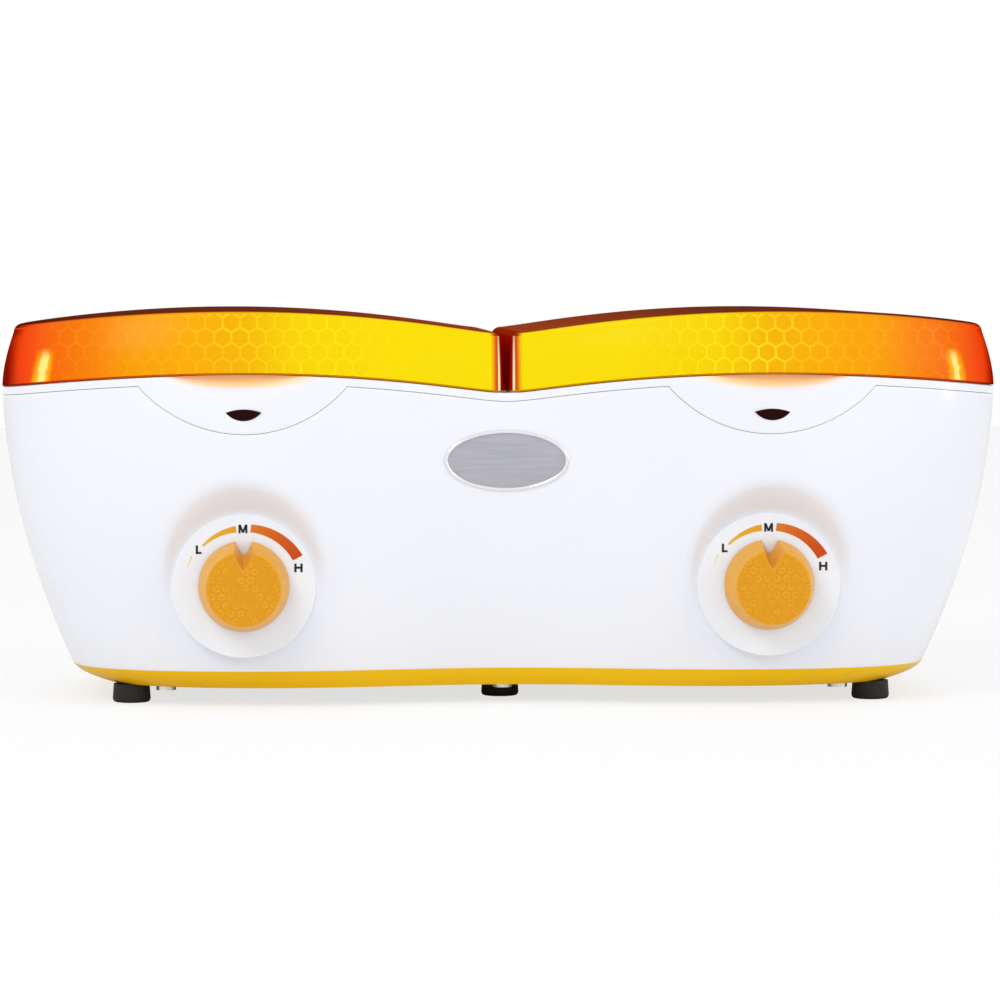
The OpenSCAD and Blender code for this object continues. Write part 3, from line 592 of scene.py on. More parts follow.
scoop_half, scoop_in, scoop_h = 35.0, 5.0, 7.2
scoop_plan = (scoop_half ** 2 + scoop_in ** 2) / (2 * scoop_in)
scoop_rise = (scoop_half ** 2 + scoop_h ** 2) / (2 * scoop_h) - scoop_h
scoop_r = math.hypot(scoop_plan, scoop_rise)
scoop_y = -float(wall_y(lobe_x, deck_z)) - scoop_plan + scoop_in
pan_z, pan_t, ledge_w, well_out = deck_z - 12.2, 2.5, 9.0, 51.5
lid_gap = 2.4


def scooped(points):
    """Pushes the front points back to the finger scoop's bowl where they lie inside it."""
    reach = (scoop_r ** 2 - (np.abs(points[:, 0]) - lobe_x) ** 2
             - (points[:, 2] - deck_z - scoop_rise) ** 2)
    bowl = scoop_y + np.sqrt(np.maximum(reach, 0))
    front = points[:, 1] < 0
    points[front, 1] = smooth_max(points[front, 1], bowl[front], 0.9)
    return points


def deck_bottom(x):
    return np.minimum(seam(x), apron_line(x, apron_r))


deck_shares = front_shares(1.25, 4.0, 20, apron_corners(apron_r, 0))
edge_soft = 0.6
rings = []
for t in np.linspace(0, 1, 15):
    rings.append(scooped(ring_points(
        deck_shares, rear, lambda x: deck_bottom(x) + t * (deck_top(x) - edge_soft - deck_bottom(x)),
        lambda x: seam(x) + t * (deck_top(x) - edge_soft - seam(x)))))
for a in np.radians([30, 60, 90]):
    rings.append(scooped(ring_points(
        deck_shares, rear, lambda x: deck_top(x) - edge_soft * (1 - math.sin(a)),
        grow=-edge_soft * (1 - math.cos(a)))))
rim = build("top_deck_rim", np.concatenate(rings), skin_faces(len(rings), len(rings[0])),
            deck_white)
settle(rim, *thicken(wall))
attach(rim, "housing")
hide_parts("top_deck")


def lid_outline(inset, inset_in, corner_r, stations=64, corner_steps=6):
    """The right lid's plan as a ring, moved in by inset and, at its inner wall, by inset_in."""
    a, b = half_w - inset, half_d - inset
    x0 = lid_gap / 2 + inset_in
    start = math.acos((x0 + corner_r) / a)
    y_corner = b * float(waisted((x0 + corner_r) / a)) * float(bulge(start)) * math.sin(start)
    bend = np.pi - np.arange(corner_steps) * np.pi / 2 / corner_steps
    curve = np.stack([x0 + corner_r + corner_r * np.cos(bend),
                      y_corner - corner_r + corner_r * np.sin(bend)], 1)
    u = start * (1 - np.arange(stations) / (stations - 0.5))
    v = u + np.radians(7) * np.sin(4 * u) * (1 - u / start) * np.degrees(u) / 90 * 2
    x, y = bulge(v) * np.cos(v), bulge(v) * np.sin(v)
    side = np.concatenate([curve, np.stack([a * x, b * y * waisted(x)], 1)])
    return np.concatenate([side * (1, -1), side[::-1]])


def raised(outline, height):
    return np.column_stack([outline, height(outline[:, 0])])


def handed(points, faces, side):
    """Points and faces of a right-hand piece as they are, or mirrored for the left."""
    if side > 0:
        return points, faces
    return points * (-1, 1, 1), [f[::-1] for f in faces]


for side, word in sides:
    outer = scooped(raised(lid_outline(edge_soft, 0.01 - lid_gap / 2, 0.02), deck_top))
    lip = lid_outline(ledge_w, ledge_w - lid_gap / 2, 4.0)
    pocket = lid_outline(ledge_w + 0.6, ledge_w - lid_gap / 2 + 0.6, 3.6)
    foot_line = lid_outline(ledge_w + 1.6, ledge_w - lid_gap / 2 + 1.6, 3.0)
    spin = np.arctan2(foot_line[:, 1], foot_line[:, 0] - lobe_x)
    hole = np.stack([lobe_x + (well_out + 0.25) * np.cos(spin), (well_out + 0.25) * np.sin(spin)], 1)
    rows = [outer, outer * (0.5, 0.5, 0.5) + raised(lip, deck_top) * 0.5, raised(lip, deck_top),
            raised(pocket, lambda x: deck_top(x) - 0.6), raised(pocket, lambda x: pan_z + 1 + 0 * x),
            raised(foot_line, lambda x: pan_z + 0 * x), raised(hole, lambda x: pan_z + 0 * x)]
    plate = build(f"{word}_deck_pan", *handed(
        np.concatenate(rows), skin_faces(len(rows), len(outer)), side), deck_white)
    settle(plate, *thicken(1.8))
    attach(plate, "housing")

# Ears at the back edge, which hold the pins of the lids' hinges
knuckle_r, knuckle_w, ear_w, knuckle_gap, pin_r = 3.4, 36.0, 5.0, 0.4, 1.5
pin_y = float(wall_y(lobe_x, deck_z)) + 0.8 + knuckle_r
pin_z = deck_z - 1.6
ear_x = knuckle_w / 2 + knuckle_gap + ear_w / 2
root_y = float(wall_y(lobe_x - knuckle_w / 2, deck_z)) - 1.1


def knuckle(name, x, width, arm, material, start, stop):
    """A barrel round the hinge pin with an arm, drawn out along the width: points are (y, z)."""
    turn = np.radians(np.linspace(start, stop, 25))
    outline = [(pin_y + knuckle_r * math.cos(a), pin_z + knuckle_r * math.sin(a)) for a in turn]
    outline += arm
    size = len(outline)
    points = [(x + end * width / 2, y, z) for end in (-1, 1) for y, z in outline]
    faces = [list(range(size))[::-1], list(range(size, 2 * size))]
    faces += [(i, (i + 1) % size, (i + 1) % size + size, i + size) for i in range(size)]
    obj = build(name, points, faces, material)
    return settle(obj, ("BEVEL", {"width": 0.35 * MM, "segments": 3, "limit_method": "ANGLE",
                                  "angle_limit": math.radians(50)}))


for side, word in sides:
    for k in (-1, 1):
        ear = knuckle(f"{word}_deck_ear_{'outer' if k == side else 'inner'}",
                      side * lobe_x + k * ear_x, ear_w,
                      [(root_y, deck_z - 0.6), (root_y, float(seam(lobe_x)) + 0.3)],
                      housing_white, -110, 163)
        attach(ear, "housing")

# Pillars for the housing screws: four on circles about the wells and two at the waist
pillar_ring, pillar_out, floor_z = 61.5, 30.0, 9.6
pillar_y = math.sqrt(pillar_ring ** 2 - pillar_out ** 2)
mid_pillar_y = float(wall_y(0, shell_z)) - 18
pillars = [(x * (lobe_x + pillar_out), y * pillar_y) for x in (-1, 1) for y in (-1, 1)]
pillars += [(0, mid_pillar_y), (0, -mid_pillar_y)]
for number, (x, y) in enumerate(pillars):
    top = pan_z - pan_t if x else float(seam(0)) + 0.5
    pillar = revolve(f"deck_pillar_{number}",
                     [(1.95, 0), (4.2, 0), (4.5, 0.3), (4.5, top - floor_z), (1.95, top - floor_z)],
                     (x, y, floor_z), housing_white, steps=48)
    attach(pillar, "housing")

# Lids
# Two see-through lids moulded in amber, each a shallow tray upside down with a rounded edge. Their
# walls are frosted inside with a fine honeycomb, and the colour deepens towards the outer ends.
lid_h, roof_in, roof_out, crown_x = 24.4, 10.2, 6.8, lobe_x + 5.0
lid_t, lid_lean, lid_lean_in, lid_edge, lid_corner, lid_rest = 2.2, 4.4, 0.8, 3.0, 4.0, 0.3
cell = 6.5


def roof_top(x):
    return deck_z + lid_h - arch(x, roof_in, roof_out, crown_x, half_w)


def hexes(signal, across, up, pitch):
    """Distance from the nearest middle of a honeycomb of pointed cells, 0.5 at a cell's edge."""
    tall = math.sqrt(3)
    u, v = across / pitch, up / pitch
    spots = []
    for shift in (0.0, 0.5):
        gx = signal.math("FLOORED_MODULO", u + shift, 1.0) - 0.5
        gy = signal.math("FLOORED_MODULO", v + shift * tall, tall) - tall / 2
        gx, gy = signal.math("ABSOLUTE", gx), signal.math("ABSOLUTE", gy)
        spots.append(signal.math("MAXIMUM", gx, gx * 0.5 + gy * (tall / 2)))
    return signal.math("MINIMUM", *spots)


def amber_plastic(name, rough):
    """Clear plastic that shines least at a glance, and how far to the side each spot of it is."""
    made, tree, sockets = finish(name, Specular_IOR_Level=0.0, Coat_Roughness=0.22)
    glance = tree.node("LayerWeight", {}, {"Blend": 0.5}, out="Facing")
    tree.feed(sockets["Coat Weight"], (1 - glance.step(0.4, 0.8)) * 0.12)
    tree.feed(sockets["Roughness"], tree.noise(300) * 0.06 + rough)
    return made, tree, sockets, tree.math("ABSOLUTE", tree.place()[0])


def wall_ramp(tree, share):
    """The walls' colour along the lid, yellow at the middle of the warmer and red at its ends."""
    return tree.node("ValToRGB", {"stops": [
        (0.0, linear(222, 198, 2)), (0.24, linear(222, 197, 2)), (0.41, linear(221, 188, 2)),
        (0.51, linear(218, 162, 2)), (0.62, linear(222, 152, 2)), (0.72, linear(222, 142, 2)),
        (0.80, linear(221, 118, 2)), (0.89, linear(221, 92, 2)), (0.94, linear(220, 62, 2)),
        (1.0, linear(196, 34, 2))]}, {0: share})


# The walls: a ramp from yellow to red, the honeycomb, red ends with a painted slit of light at the
# inner ones, a painted bright streak near the outer ones for light from behind, and a painted glow
amber, tree, sockets, out = amber_plastic("amber_lid", 0.26)
px, py, pz = tree.place()
out_share = out / half_w
endwise = tree.math("ABSOLUTE", tree.turn()[0])
body = wall_ramp(tree, out_share)
web = hexes(tree, out, pz, cell).step(0.40, 0.49)
strength = (out_share.step(0.12, 0.42) * (1 - out_share.step(0.84, 0.93))
            * (1 - out_share.step(0.52, 0.64) * 0.6))
bright = tree.node("ValToRGB", {"stops": [
    (0.3, linear(232, 210, 6)), (0.55, linear(236, 202, 24)), (0.8, linear(234, 142, 30))]},
    {0: out_share})
patchy = tree.noise(38, 1).step(0.35, 0.65)
tone = (web * strength * (patchy * 0.6 + 0.4)).mix(body, bright)
# Painted highlight: a bright yellow streak near each outer end, standing for light that comes through
# the lid from behind
painted_streak_x, painted_streak_lean, painted_streak_shift = 196.7, 0.18, 1.9
ragged = (tree.noise(230, 2) - 0.5) * 3
shifted = out + pz * painted_streak_lean + tree.math("SIGN", px) * painted_streak_shift
painted_streak = tree.math("ABSOLUTE", shifted - painted_streak_x + ragged)
low_down = (1 - pz.step(131.5, 137)) * (1 - py.step(-5, 5))
tone = ((1 - painted_streak.step(1.6, 4.4)) * low_down * 0.7).mix(tone, linear(230, 176, 6))
tone = ((1 - painted_streak.step(0.7, 1.9)) * low_down).mix(tone, linear(228, 212, 120))
end_red = endwise.step(0.86, 0.98) * out_share.step(0.8, 0.9)
tone = end_red.mix(tone, linear(120, 10, 2))
# Painted highlight: a pale line of painted light down each inner end, between dark red bands
painted_slit_from, painted_slit_w = 1.2, 5.0
painted_slit = tree.node("ValToRGB", {"stops": [
    (0.0, linear(140, 12, 4)), (0.20, linear(160, 16, 4)), (0.27, linear(226, 220, 180)),
    (0.36, linear(226, 220, 180)), (0.43, linear(180, 70, 8)), (0.58, linear(196, 84, 6)),
    (0.8, linear(222, 160, 8)), (1.0, linear(222, 197, 2))]}, {0: (out - painted_slit_from) / painted_slit_w})
tone = (1 - out.step(5.6, 6.2)).mix(tone, painted_slit)
tone = (endwise.step(0.7, 0.9) * (1 - out.step(4, 6))).mix(tone, linear(150, 12, 4))
tree.feed(sockets["Base Color"], tone)
# Painted glow: the walls give off a little light in their own colour, standing for light passing
# through the plastic
tree.feed(sockets["Emission Color"], tone)
tree.feed(sockets["Emission Strength"], 0.2)
relief(tree, sockets, (1 - web) * strength, 0.00012)

# The rounded edge of the roof: the walls' colour and their painted glow low down, and dark red-brown
# above and at the ends
amber_edge, tree, sockets, out = amber_plastic("amber_edge", 0.24)
out_share = out / half_w
brown = tree.node("ValToRGB", {"stops": [
    (0.0, linear(146, 42, 4)), (0.4, linear(112, 32, 2)), (0.8, linear(104, 24, 2)),
    (1.0, linear(74, 10, 4))]}, {0: out_share})
above = tree.math("MAXIMUM", tree.turn()[2].step(0.62, 0.84),
                  1 - out.step(4, 7) + out_share.step(0.92, 0.97))
tree.feed(sockets["Base Color"], above.mix(wall_ramp(tree, out_share), brown))
# Painted glow on the lower part of the edge, as on the walls
tree.feed(sockets["Emission Color"], above.mix(wall_ramp(tree, out_share), (0, 0, 0)))
tree.feed(sockets["Emission Strength"], 0.2)

# The roof: amber from above, and dark at a glance, where the sight line runs a long way inside
amber_roof, tree, sockets, out = amber_plastic("amber_roof", 0.24)
out_share = out / half_w
roof_tone = tree.node("ValToRGB", {"stops": [
    (0.0, linear(226, 176, 10)), (0.45, linear(222, 142, 8)), (0.8, linear(214, 92, 6)),
    (1.0, linear(170, 34, 4))]}, {0: out_share})
web = hexes(tree, out, tree.place()[1], cell).step(0.40, 0.49)
roof_tone = (web * 0.35).mix(roof_tone, linear(236, 190, 60))
dark_tone = tree.node("ValToRGB", {"stops": [
    (0.0, linear(156, 62, 30)), (0.45, linear(108, 48, 24)), (1.0, linear(88, 38, 20))]},
    {0: out_share})
glance = tree.node("LayerWeight", {}, {"Blend": 0.5}, out="Facing")
tree.feed(sockets["Base Color"], glance.step(0.84, 0.94).mix(roof_tone, dark_tone))

# The lid's lower lip, where the wall ends in a thin darker line
amber_lip, tree, sockets, out = amber_plastic("amber_lip", 0.3)
tree.feed(sockets["Base Color"], tree.node("ValToRGB", {"stops": [
    (0.0, linear(190, 130, 2)), (0.4, linear(200, 118, 4)), (0.6, linear(206, 96, 2)),
    (0.9, linear(180, 46, 2)), (1.0, linear(110, 14, 2))]}, {0: out / half_w}))


def sheet(ring, strips, base):
    """Points and quads that close a ring, in strips from its front half to its back half."""
    half = len(ring) // 2
    front, back = ring[:half], ring[half:][::-1]
    points = np.concatenate([front + (back - front) * s for s in np.linspace(0, 1, strips + 1)])
    return points, [(a, a + 1, a + half + 1, a + half) for k in range(strips)
                    for a in range(base + k * half, base + k * half + half - 1)]


def lid_rise(x):
    return roof_top(x) - deck_top(x) - lid_rest - lid_edge


wall_steps = (0, 0.03, *np.linspace(0.125, 1, 8))
weld = ("WELD", {"merge_threshold": 1e-6})
for side, word in sides:
    rows = []
    for t in wall_steps:
        rows.append(raised(lid_outline(lid_lean * t ** 1.7, lid_lean_in * t, lid_corner),
                           lambda x: deck_top(x) + lid_rest + lid_rise(x) * t))
    for a in np.radians([15, 30, 45, 60, 75, 90]):
        back = lid_edge * (1 - math.cos(a))
        rows.append(raised(lid_outline(lid_lean + back, lid_lean_in + back, max(1, lid_corner - back)),
                           lambda x: roof_top(x) - lid_edge * (1 - math.sin(a))))
    count = len(rows[0])
    walls = skin_faces(len(rows), count)
    roof_points, roof = sheet(rows[-1], 12, len(rows) * count)
    lid = build(f"{word}_lid_shell",
                *handed(np.concatenate(rows + [roof_points]), walls + roof, side), amber)
    for coat in (amber_lip, amber_edge, amber_roof):
        lid.data.materials.append(coat)
    for number, face in enumerate(lid.data.polygons):
        if number >= len(walls):
            face.material_index = 3
        elif number >= (len(wall_steps) + 1) * count:
            face.material_index = 2
        elif number < count:
            face.material_index = 1
    settle(lid, weld, *thicken(lid_t, 0.3))
    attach(lid, f"{word}_lid")
    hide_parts(f"{word}_lid")
    arm = knuckle(f"{word}_lid_knuckle", side * lobe_x, knuckle_w,
                  [(root_y, deck_z + lid_rest), (root_y, deck_z + lid_rest + 7)], amber, 200, 435)
    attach(arm, f"{word}_lid")

# Hinge pins
# One bright steel pin runs through the ears and the barrel of each lid. It has a head at its inner
# end and is pressed in from there.
pin_steel, tree, sockets = finish("pin_steel", Metallic=1.0)
tree.feed(sockets["Base Color"], tree.noise(60).mix((0.55, 0.55, 0.56), (0.66, 0.66, 0.67)))
tree.feed(sockets["Roughness"], tree.noise(900, 2, (0.05, 1, 1)) * 0.2 + 0.22)
for side, word in sides:
    span = 2 * (ear_x + ear_w / 2)
    pin = revolve(f"{word}_hinge_pin_rod",
                  [(0, -1), (pin_r + 0.7, -1), (pin_r + 0.9, -0.8), (pin_r + 0.9, 0), (pin_r, 0),
                   (pin_r, span + 0.3), (pin_r - 0.3, span + 0.6), (0, span + 0.6)],
                  (side * (lobe_x - span / 2), pin_y, pin_z), pin_steel, (0, side * 90, 0), 48)
    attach(pin, "housing")
    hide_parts(f"{word}_hinge_pin")

# Wells
# Two pots spun from aluminium sheet. Each hangs by its flange in one of the deck's pans, and takes
# the wax can. Its wall turns into its floor in a wide bend.
well_r, well_t, well_depth, flange_w, well_bend = 50.0, 1.5, 80.0, 11.0, 8.0
spun, tree, sockets = finish("well_aluminium", Metallic=1.0)
tree.feed(sockets["Base Color"], tree.noise(20).mix((0.78, 0.79, 0.80), (0.86, 0.87, 0.88)))
tree.feed(sockets["Roughness"], tree.noise(40, 3) * 0.15 + 0.2)
relief(tree, sockets, tree.noise(1400, 1, (0.03, 0.03, 1)), 0.00001)
bend_r, bend_z, inside_bend = well_out - well_bend, well_bend - well_depth, well_bend - well_t
bends = np.radians(np.linspace(0, 90, 9))
profile = [(well_r + 0.6, well_t), (well_r, well_t - 0.6), (well_r, bend_z)]
profile += [(bend_r + inside_bend * math.cos(a), bend_z - inside_bend * math.sin(a)) for a in bends]
profile += [(0, well_t - well_depth), (0, -well_depth)]
profile += [(bend_r + well_bend * math.sin(a), bend_z - well_bend * math.cos(a)) for a in bends]
profile += [(well_out, 0), (well_r + flange_w, 0), (well_r + flange_w, well_t - 0.4),
            (well_r + flange_w - 0.4, well_t)]
for side, word in sides:
    pot = revolve(f"{word}_well_pot", profile, (side * lobe_x, 0, pan_z), spun, steps=160)
    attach(pot, "housing")
    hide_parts(f"{word}_well")

# Knobs
# Golden drafted drums pushed on the thermostats' flatted shafts. The face has a fine bubbled grain,
# and a notch that slants out of the side points to the heat.
knob_r, knob_face_r, knob_l, knob_gap = 17.2, 14.2, 16.0, 1.0
knob_face = knob_l - 0.7
notch_half, notch_flare, notch_tip, notch_tip_back, knob_edge = 3.8, 7.0, 6.2, 11.8, 0.8
gold, tree, sockets = finish("golden_knob", Specular_IOR_Level=0.12)
px, py, pz = tree.place()
side_on = py.step(dial_y - knob_l - 0.5, dial_y - knob_l + 0.1)
drift = (tree.noise(210, 1) - 0.5) * 1.5
grain = hexes(tree, px + drift, pz - drift, 3.6)
# The beads are raised by a bump; their lighter rims are a painted highlight
bead_and_highlight = ((grain.step(0.10, 0.22) - grain.step(0.28, 0.42))
        * (tree.noise(170, 1).step(0.38, 0.62) * 0.8 + 0.2))
side_tone = tree.noise(60).mix(linear(230, 166, 52), linear(235, 172, 62))
face_tone = bead_and_highlight.mix(linear(210, 139, 2), linear(226, 160, 24))
tree.feed(sockets["Base Color"], side_on.mix(face_tone, side_tone))
tree.feed(sockets["Roughness"], bead_and_highlight * 0.08 + 0.34)
relief(tree, sockets, bead_and_highlight * (1 - side_on), 0.0002)


def notch_half_width(d):
    return notch_half * np.minimum(1, d / notch_flare) ** 0.64


def knob_outline(h, back_arc=0.0, back_notch=0.0):
    """The knob's outline at a height from its back, drawn in by these amounts at rim and notch."""
    radius = knob_r + (knob_face_r - knob_r) * min(1, h / (knob_l - knob_edge)) - back_arc
    tip = notch_tip_back + (notch_tip - notch_tip_back) * h / knob_l - back_notch * 1.5
    d = np.linspace(0, radius, 2001)
    wide = notch_half_width(d) + back_notch * np.minimum(1, d / 1.5)
    end = d[np.argmax(np.hypot(wide, tip + d) >= radius)]
    d = end * np.linspace(0, 1, 15) ** 1.3
    flank = np.stack([notch_half_width(d) + back_notch * np.minimum(1, d / 1.5), tip + d], 1)
    flank[0, 0] = 0
    corner_angle = math.atan2(flank[-1, 0], flank[-1, 1])
    bend = np.linspace(corner_angle, math.pi, 70)[1:]
    arc = np.stack([radius * np.sin(bend), radius * np.cos(bend)], 1)
    right = np.concatenate([flank, arc])
    left = right[1:-1][::-1] * (-1, 1)
    return np.column_stack([np.concatenate([right, left]), np.full(len(right) + len(left), h)])


for side, word in sides:
    rings = [knob_outline(h) for h in np.linspace(0, knob_face - knob_edge, 10)]
    for a in np.radians([15, 30, 45, 60, 75, 90]):
        rings.append(knob_outline(knob_face - knob_edge * (1 - math.sin(a)),
                                  knob_edge * (1 - math.cos(a)), 0.3 * (1 - math.cos(a))))
    rings.append(knob_outline(knob_face, knob_edge + 0.4, 0.7))
    local = np.concatenate(rings)
    points = np.column_stack([side * lobe_x + local[:, 0], dial_y - knob_gap - local[:, 2],
                              dial_z + local[:, 1]])
    faces = [f[::-1] for f in capped_faces(len(rings), len(rings[0]))]
    knob = build(f"{word}_knob_drum", points, faces, gold, 32)
    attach(knob, f"{word}_dial")
    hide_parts(f"{word}_knob")

# Pilot lenses
# A dark red half-moon lens pressed into each apron, over a neon lamp. It is clear plastic, so dark
# that it looks almost black while the lamp is off, and its face swells a little from the wall.
lens_half, lens_fall, lens_rise, lens_drop = 6.8, 3.2, 1.2, 14.0
lens_red, tree, sockets = finish("lens_red", Roughness=0.12, Specular_IOR_Level=0.05)
tree.feed(sockets["Base Color"], tree.noise(300).mix((0.010, 0.001, 0.001), (0.022, 0.002, 0.002)))
low_r = (lens_half ** 2 + lens_fall ** 2) / (2 * lens_fall)
high_r = (lens_half ** 2 + lens_rise ** 2) / (2 * lens_rise)
for side, word in sides:
    u = np.linspace(-1, 1, 33)[:-1] * lens_half
    below = np.stack([u, low_r - lens_fall - np.sqrt(low_r ** 2 - u ** 2)], 1)
    above = np.stack([-u, lens_rise - high_r + np.sqrt(high_r ** 2 - u ** 2)], 1)
    outline = np.concatenate([below, above])
    middle = np.array([0, -0.9])
    rings = []
    for shrink, proud in ((1, -4), (1, 0.0), (0.985, 0.12), (0.95, 0.2), (0.8, 0.28), (0.5, 0.32)):
        flat = middle + (outline - middle) * shrink
        z = deck_z - lens_drop + flat[:, 1]
        rings.append(np.column_stack([side * lobe_x + flat[:, 0],
                                      -wall_y(lobe_x + 0 * z, z) - proud, z]))
    lens = build(f"{word}_pilot_lens_moon", np.concatenate(rings),
                 capped_faces(len(rings), len(outline)), lens_red, 50)
    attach(lens, "housing")
    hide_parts(f"{word}_pilot_lens")

# Badge
# A plain brushed silver oval inside a bright chrome rim. Both are thin plates, bent to the wall of
# the waist and glued into a shallow pocket there.
badge_a, badge_b, badge_z, badge_rim, badge_proud, badge_steps = 23.7, 11.8, 93.8, 1.6, 0.9, 128
silver, tree, sockets = finish("badge_silver", Metallic=0.55, Specular_IOR_Level=0.5)
brush = tree.noise(900, 3, (0.04, 1, 1))
tree.feed(sockets["Base Color"], brush.mix(linear(158, 158, 166), linear(190, 190, 197)))
tree.feed(sockets["Roughness"], brush * 0.12 + 0.36)
relief(tree, sockets, brush, 0.000008)
chrome, tree, sockets = finish("badge_chrome", Metallic=1.0)
tree.feed(sockets["Base Color"], tree.noise(90).mix((0.80, 0.80, 0.82), (0.86, 0.86, 0.88)))
tree.feed(sockets["Roughness"], tree.noise(500) * 0.04 + 0.07)
turn = np.radians(np.arange(badge_steps) * 360 / badge_steps)


def on_wall(x, z, proud):
    return np.column_stack([x, -wall_y(x, z) - proud, z])


domed = [(s, 0.1 + 0.15 * (1 - s * s)) for s in (0.97, 0.9, 0.75, 0.55, 0.35, 0.15, 0.02)]
rings = [on_wall((badge_a - badge_rim * 0.9) * s * np.cos(turn),
                 badge_z + (badge_b - badge_rim * 0.9) * s * np.sin(turn), proud)
         for s, proud in [(1, -0.6), (1, 0.1)] + domed]
plate = build("badge_plate_oval", np.concatenate(rings), capped_faces(len(rings), badge_steps), silver)
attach(plate, "housing")
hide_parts("badge_plate")
rings = []
rim_steps = 20
for a in np.radians(np.arange(rim_steps) * 360 / rim_steps):
    off = badge_rim / 2 * (math.cos(a) - 1)
    proud = badge_proud * math.sin(a) if math.sin(a) > 0 else 0.5 * math.sin(a)
    rings.append(on_wall((badge_a + off) * np.cos(turn), badge_z + (badge_b + off) * np.sin(turn),
                         proud))
faces = skin_faces(rim_steps, badge_steps)
last = (rim_steps - 1) * badge_steps
faces += [(last + i, last + (i + 1) % badge_steps, (i + 1) % badge_steps, i)
          for i in range(badge_steps)]
bezel = build("badge_rim_oval", np.concatenate(rings), faces, chrome, 60)
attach(bezel, "housing")
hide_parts("badge_rim")

# Base tray
# The yellow moulded base that closes the housing from below and is screwed to the deck's pillars.
# Its edge rolls under to the feet, and a row of vent slots lies under each well.
tray_chamfer, foot_h, tray_h, vent_l, vent_w = 11.0, 7.1, 6.7, 34.0, 3.0
sunny, tree, sockets = finish("yellow_tray", Roughness=0.28, Specular_IOR_Level=0.2)
tree.feed(sockets["Base Color"], tree.noise(9, 1).mix(linear(232, 176, 0), linear(240, 194, 0)))
relief(tree, sockets, tree.noise(800, 2), 0.000012)
low = float(reach_x(shell_z)) - tray_chamfer - float(reach_x(foot_h))
tray_shares = front_shares(6.0, 6.0, 28)
rows = []
for t in np.linspace(0, 1, 15):
    z = foot_h + tray_h * t
    rows.append(ring_points(tray_shares, tray_shares, lambda x: z + 0 * x,
                            grow=-2 * (1 - t) ** 2, grow_x=low * (1 - t) ** 2))
points = np.concatenate(rows)
faces = skin_faces(len(rows), len(rows[0]))
for ring, order in ((rows[0], -1), (rows[-1], 1)):
    floor_points, quads = sheet(ring, 8, len(points))
    points = np.concatenate([points, floor_points])
    faces += [quad[::order] for quad in quads]
tray = build("base_tray_body", points, faces, sunny)
settle(tray, weld)


def boxes(name, spots, size):
    """A mesh of equal boxes at these middles, to cut with."""
    points, faces = [], []
    for spot in spots:
        base = len(points)
        points += [(spot[0] + size[0] / 2 * i, spot[1] + size[1] / 2 * j, spot[2] + size[2] / 2 * k)
                   for k in (-1, 1) for i, j in ((-1, -1), (1, -1), (1, 1), (-1, 1))]
        faces += [[base + n for n in f] for f in
                  ([3, 2, 1, 0], [4, 5, 6, 7], [0, 1, 5, 4], [1, 2, 6, 5], [2, 3, 7, 6], [3, 0, 4, 7])]
    return build(name, points, faces, sunny)


vents = boxes("vent_cutter", [(side * lobe_x + k * 3 * vent_w, 0, foot_h)
                              for side in (-1, 1) for k in range(-3, 4)], (vent_w, vent_l, 8))
settle(tray, ("BOOLEAN", {"object": vents, "operation": "DIFFERENCE", "solver": "EXACT"}))
bpy.data.objects.remove(vents)
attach(tray, "housing")
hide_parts("base_tray")

# Feet
# Six black rubber feet, four at the ends and two at the waist. Each is a tapered pad with a stem
# and a button above it, pushed through a hole in the tray.
def rubber(name, darkest, rough):
    made, tree, sockets = finish(name, Specular_IOR_Level=0.3)
    tree.feed(sockets["Base Color"], tree.noise(200).mix((darkest,) * 3, (2.1 * darkest,) * 3))
    tree.feed(sockets["Roughness"], tree.noise(400) * 0.2 + rough)
    return made


foot_rubber = rubber("foot_rubber", 0.0105, 0.55)
foot_r = 7.3
foot_spots = {"front_left": (-143, -50), "front_middle": (0, -30), "front_right": (143, -50),
              "rear_left": (-143, 50), "rear_middle": (0, 30), "rear_right": (143, 50)}
for word, (x, y) in foot_spots.items():
    foot = revolve(f"{word}_foot_pad",
                   [(0, 0), (foot_r - 1.2, 0), (foot_r - 0.6, 0.2), (foot_r - 0.2, 0.7),
                    (foot_r, 1.4), (foot_r - 0.4, foot_h), (2.6, foot_h), (2.6, 9.6), (3.4, 9.6),
                    (2.0, 11.6), (0, 11.6)], (x, y, 0), foot_rubber, steps=64)
    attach(foot, "housing")
    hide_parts(f"{word}_foot")

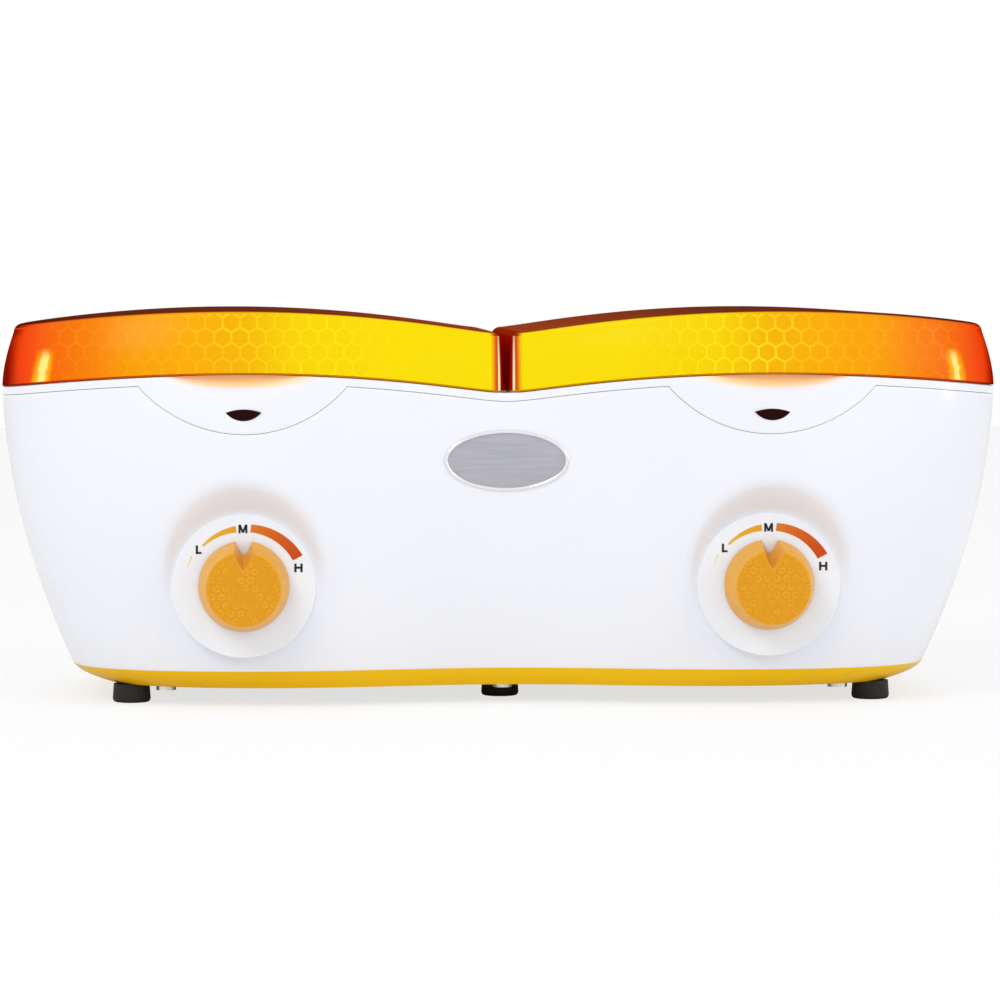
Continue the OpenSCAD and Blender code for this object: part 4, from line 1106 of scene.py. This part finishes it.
# Cord gland
# A black rubber gland snapped into the rear boss by a lip behind the wall, with the bore that the
# cord passes through.
gland_rubber = rubber("gland_rubber", 0.012, 0.5)
cord_r, neck_r, gland_out = 3.6, 5.6, 3.2
gland = revolve("cord_gland_sleeve",
                [(cord_r, -boss_t - 1.8), (neck_r - 0.5, -boss_t - 1.8), (neck_r + 0.9, -boss_t - 0.3),
                 (neck_r, -boss_t - 0.2), (neck_r, 0), (neck_r + 2.4, 0),
                 (neck_r + 2.4, gland_out / 2), (neck_r + 1.9, gland_out / 2 + 0.6),
                 (neck_r, gland_out), (cord_r, gland_out)],
                (0, boss_y, gland_z), gland_rubber, (-90, 0, 0), 72)
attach(gland, "housing")
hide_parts("cord_gland")

# Inner parts
# The heaters, jackets, thermostats, lamps, screws and terminal block keep their construction
# shapes. Only the screws' heads show outside the housing. Each kind gets a plain material.
inner = {
    "heater_steel": (["left_heater_band", "right_heater_band"], (0.34, 0.32, 0.29), 0.9, 0.4),
    "jacket_wool": (["left_jacket", "right_jacket"], (0.72, 0.69, 0.60), 0.0, 0.9),
    "thermostat_black": (["left_thermostat", "right_thermostat"], (0.03, 0.03, 0.035), 0.0, 0.4),
    "shaft_steel": (["left_thermostat_shaft", "right_thermostat_shaft"], (0.6, 0.6, 0.61), 1.0, 0.25),
    "nut_brass": (["left_thermostat_nut", "right_thermostat_nut"], (0.68, 0.55, 0.28), 1.0, 0.3),
    "lamp_glass": (["left_pilot_lamp", "right_pilot_lamp"], (0.75, 0.30, 0.16), 0.0, 0.15),
    "screw_steel": (["housing_screws"], (0.86, 0.86, 0.87), 1.0, 0.35),
    "terminal_plastic": (["terminal_block"], (0.78, 0.78, 0.72), 0.0, 0.5)}
for slot, (nodes, tone, metal, rough) in inner.items():
    coat, tree, sockets = finish(slot, Metallic=metal)
    tree.feed(sockets["Base Color"], tree.noise(120).mix(tuple(0.9 * v for v in tone), tone))
    tree.feed(sockets["Roughness"], tree.noise(500) * 0.1 + rough)
    for node in nodes:
        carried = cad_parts[node]
        carried.data.materials.clear()
        carried.data.materials.append(coat)
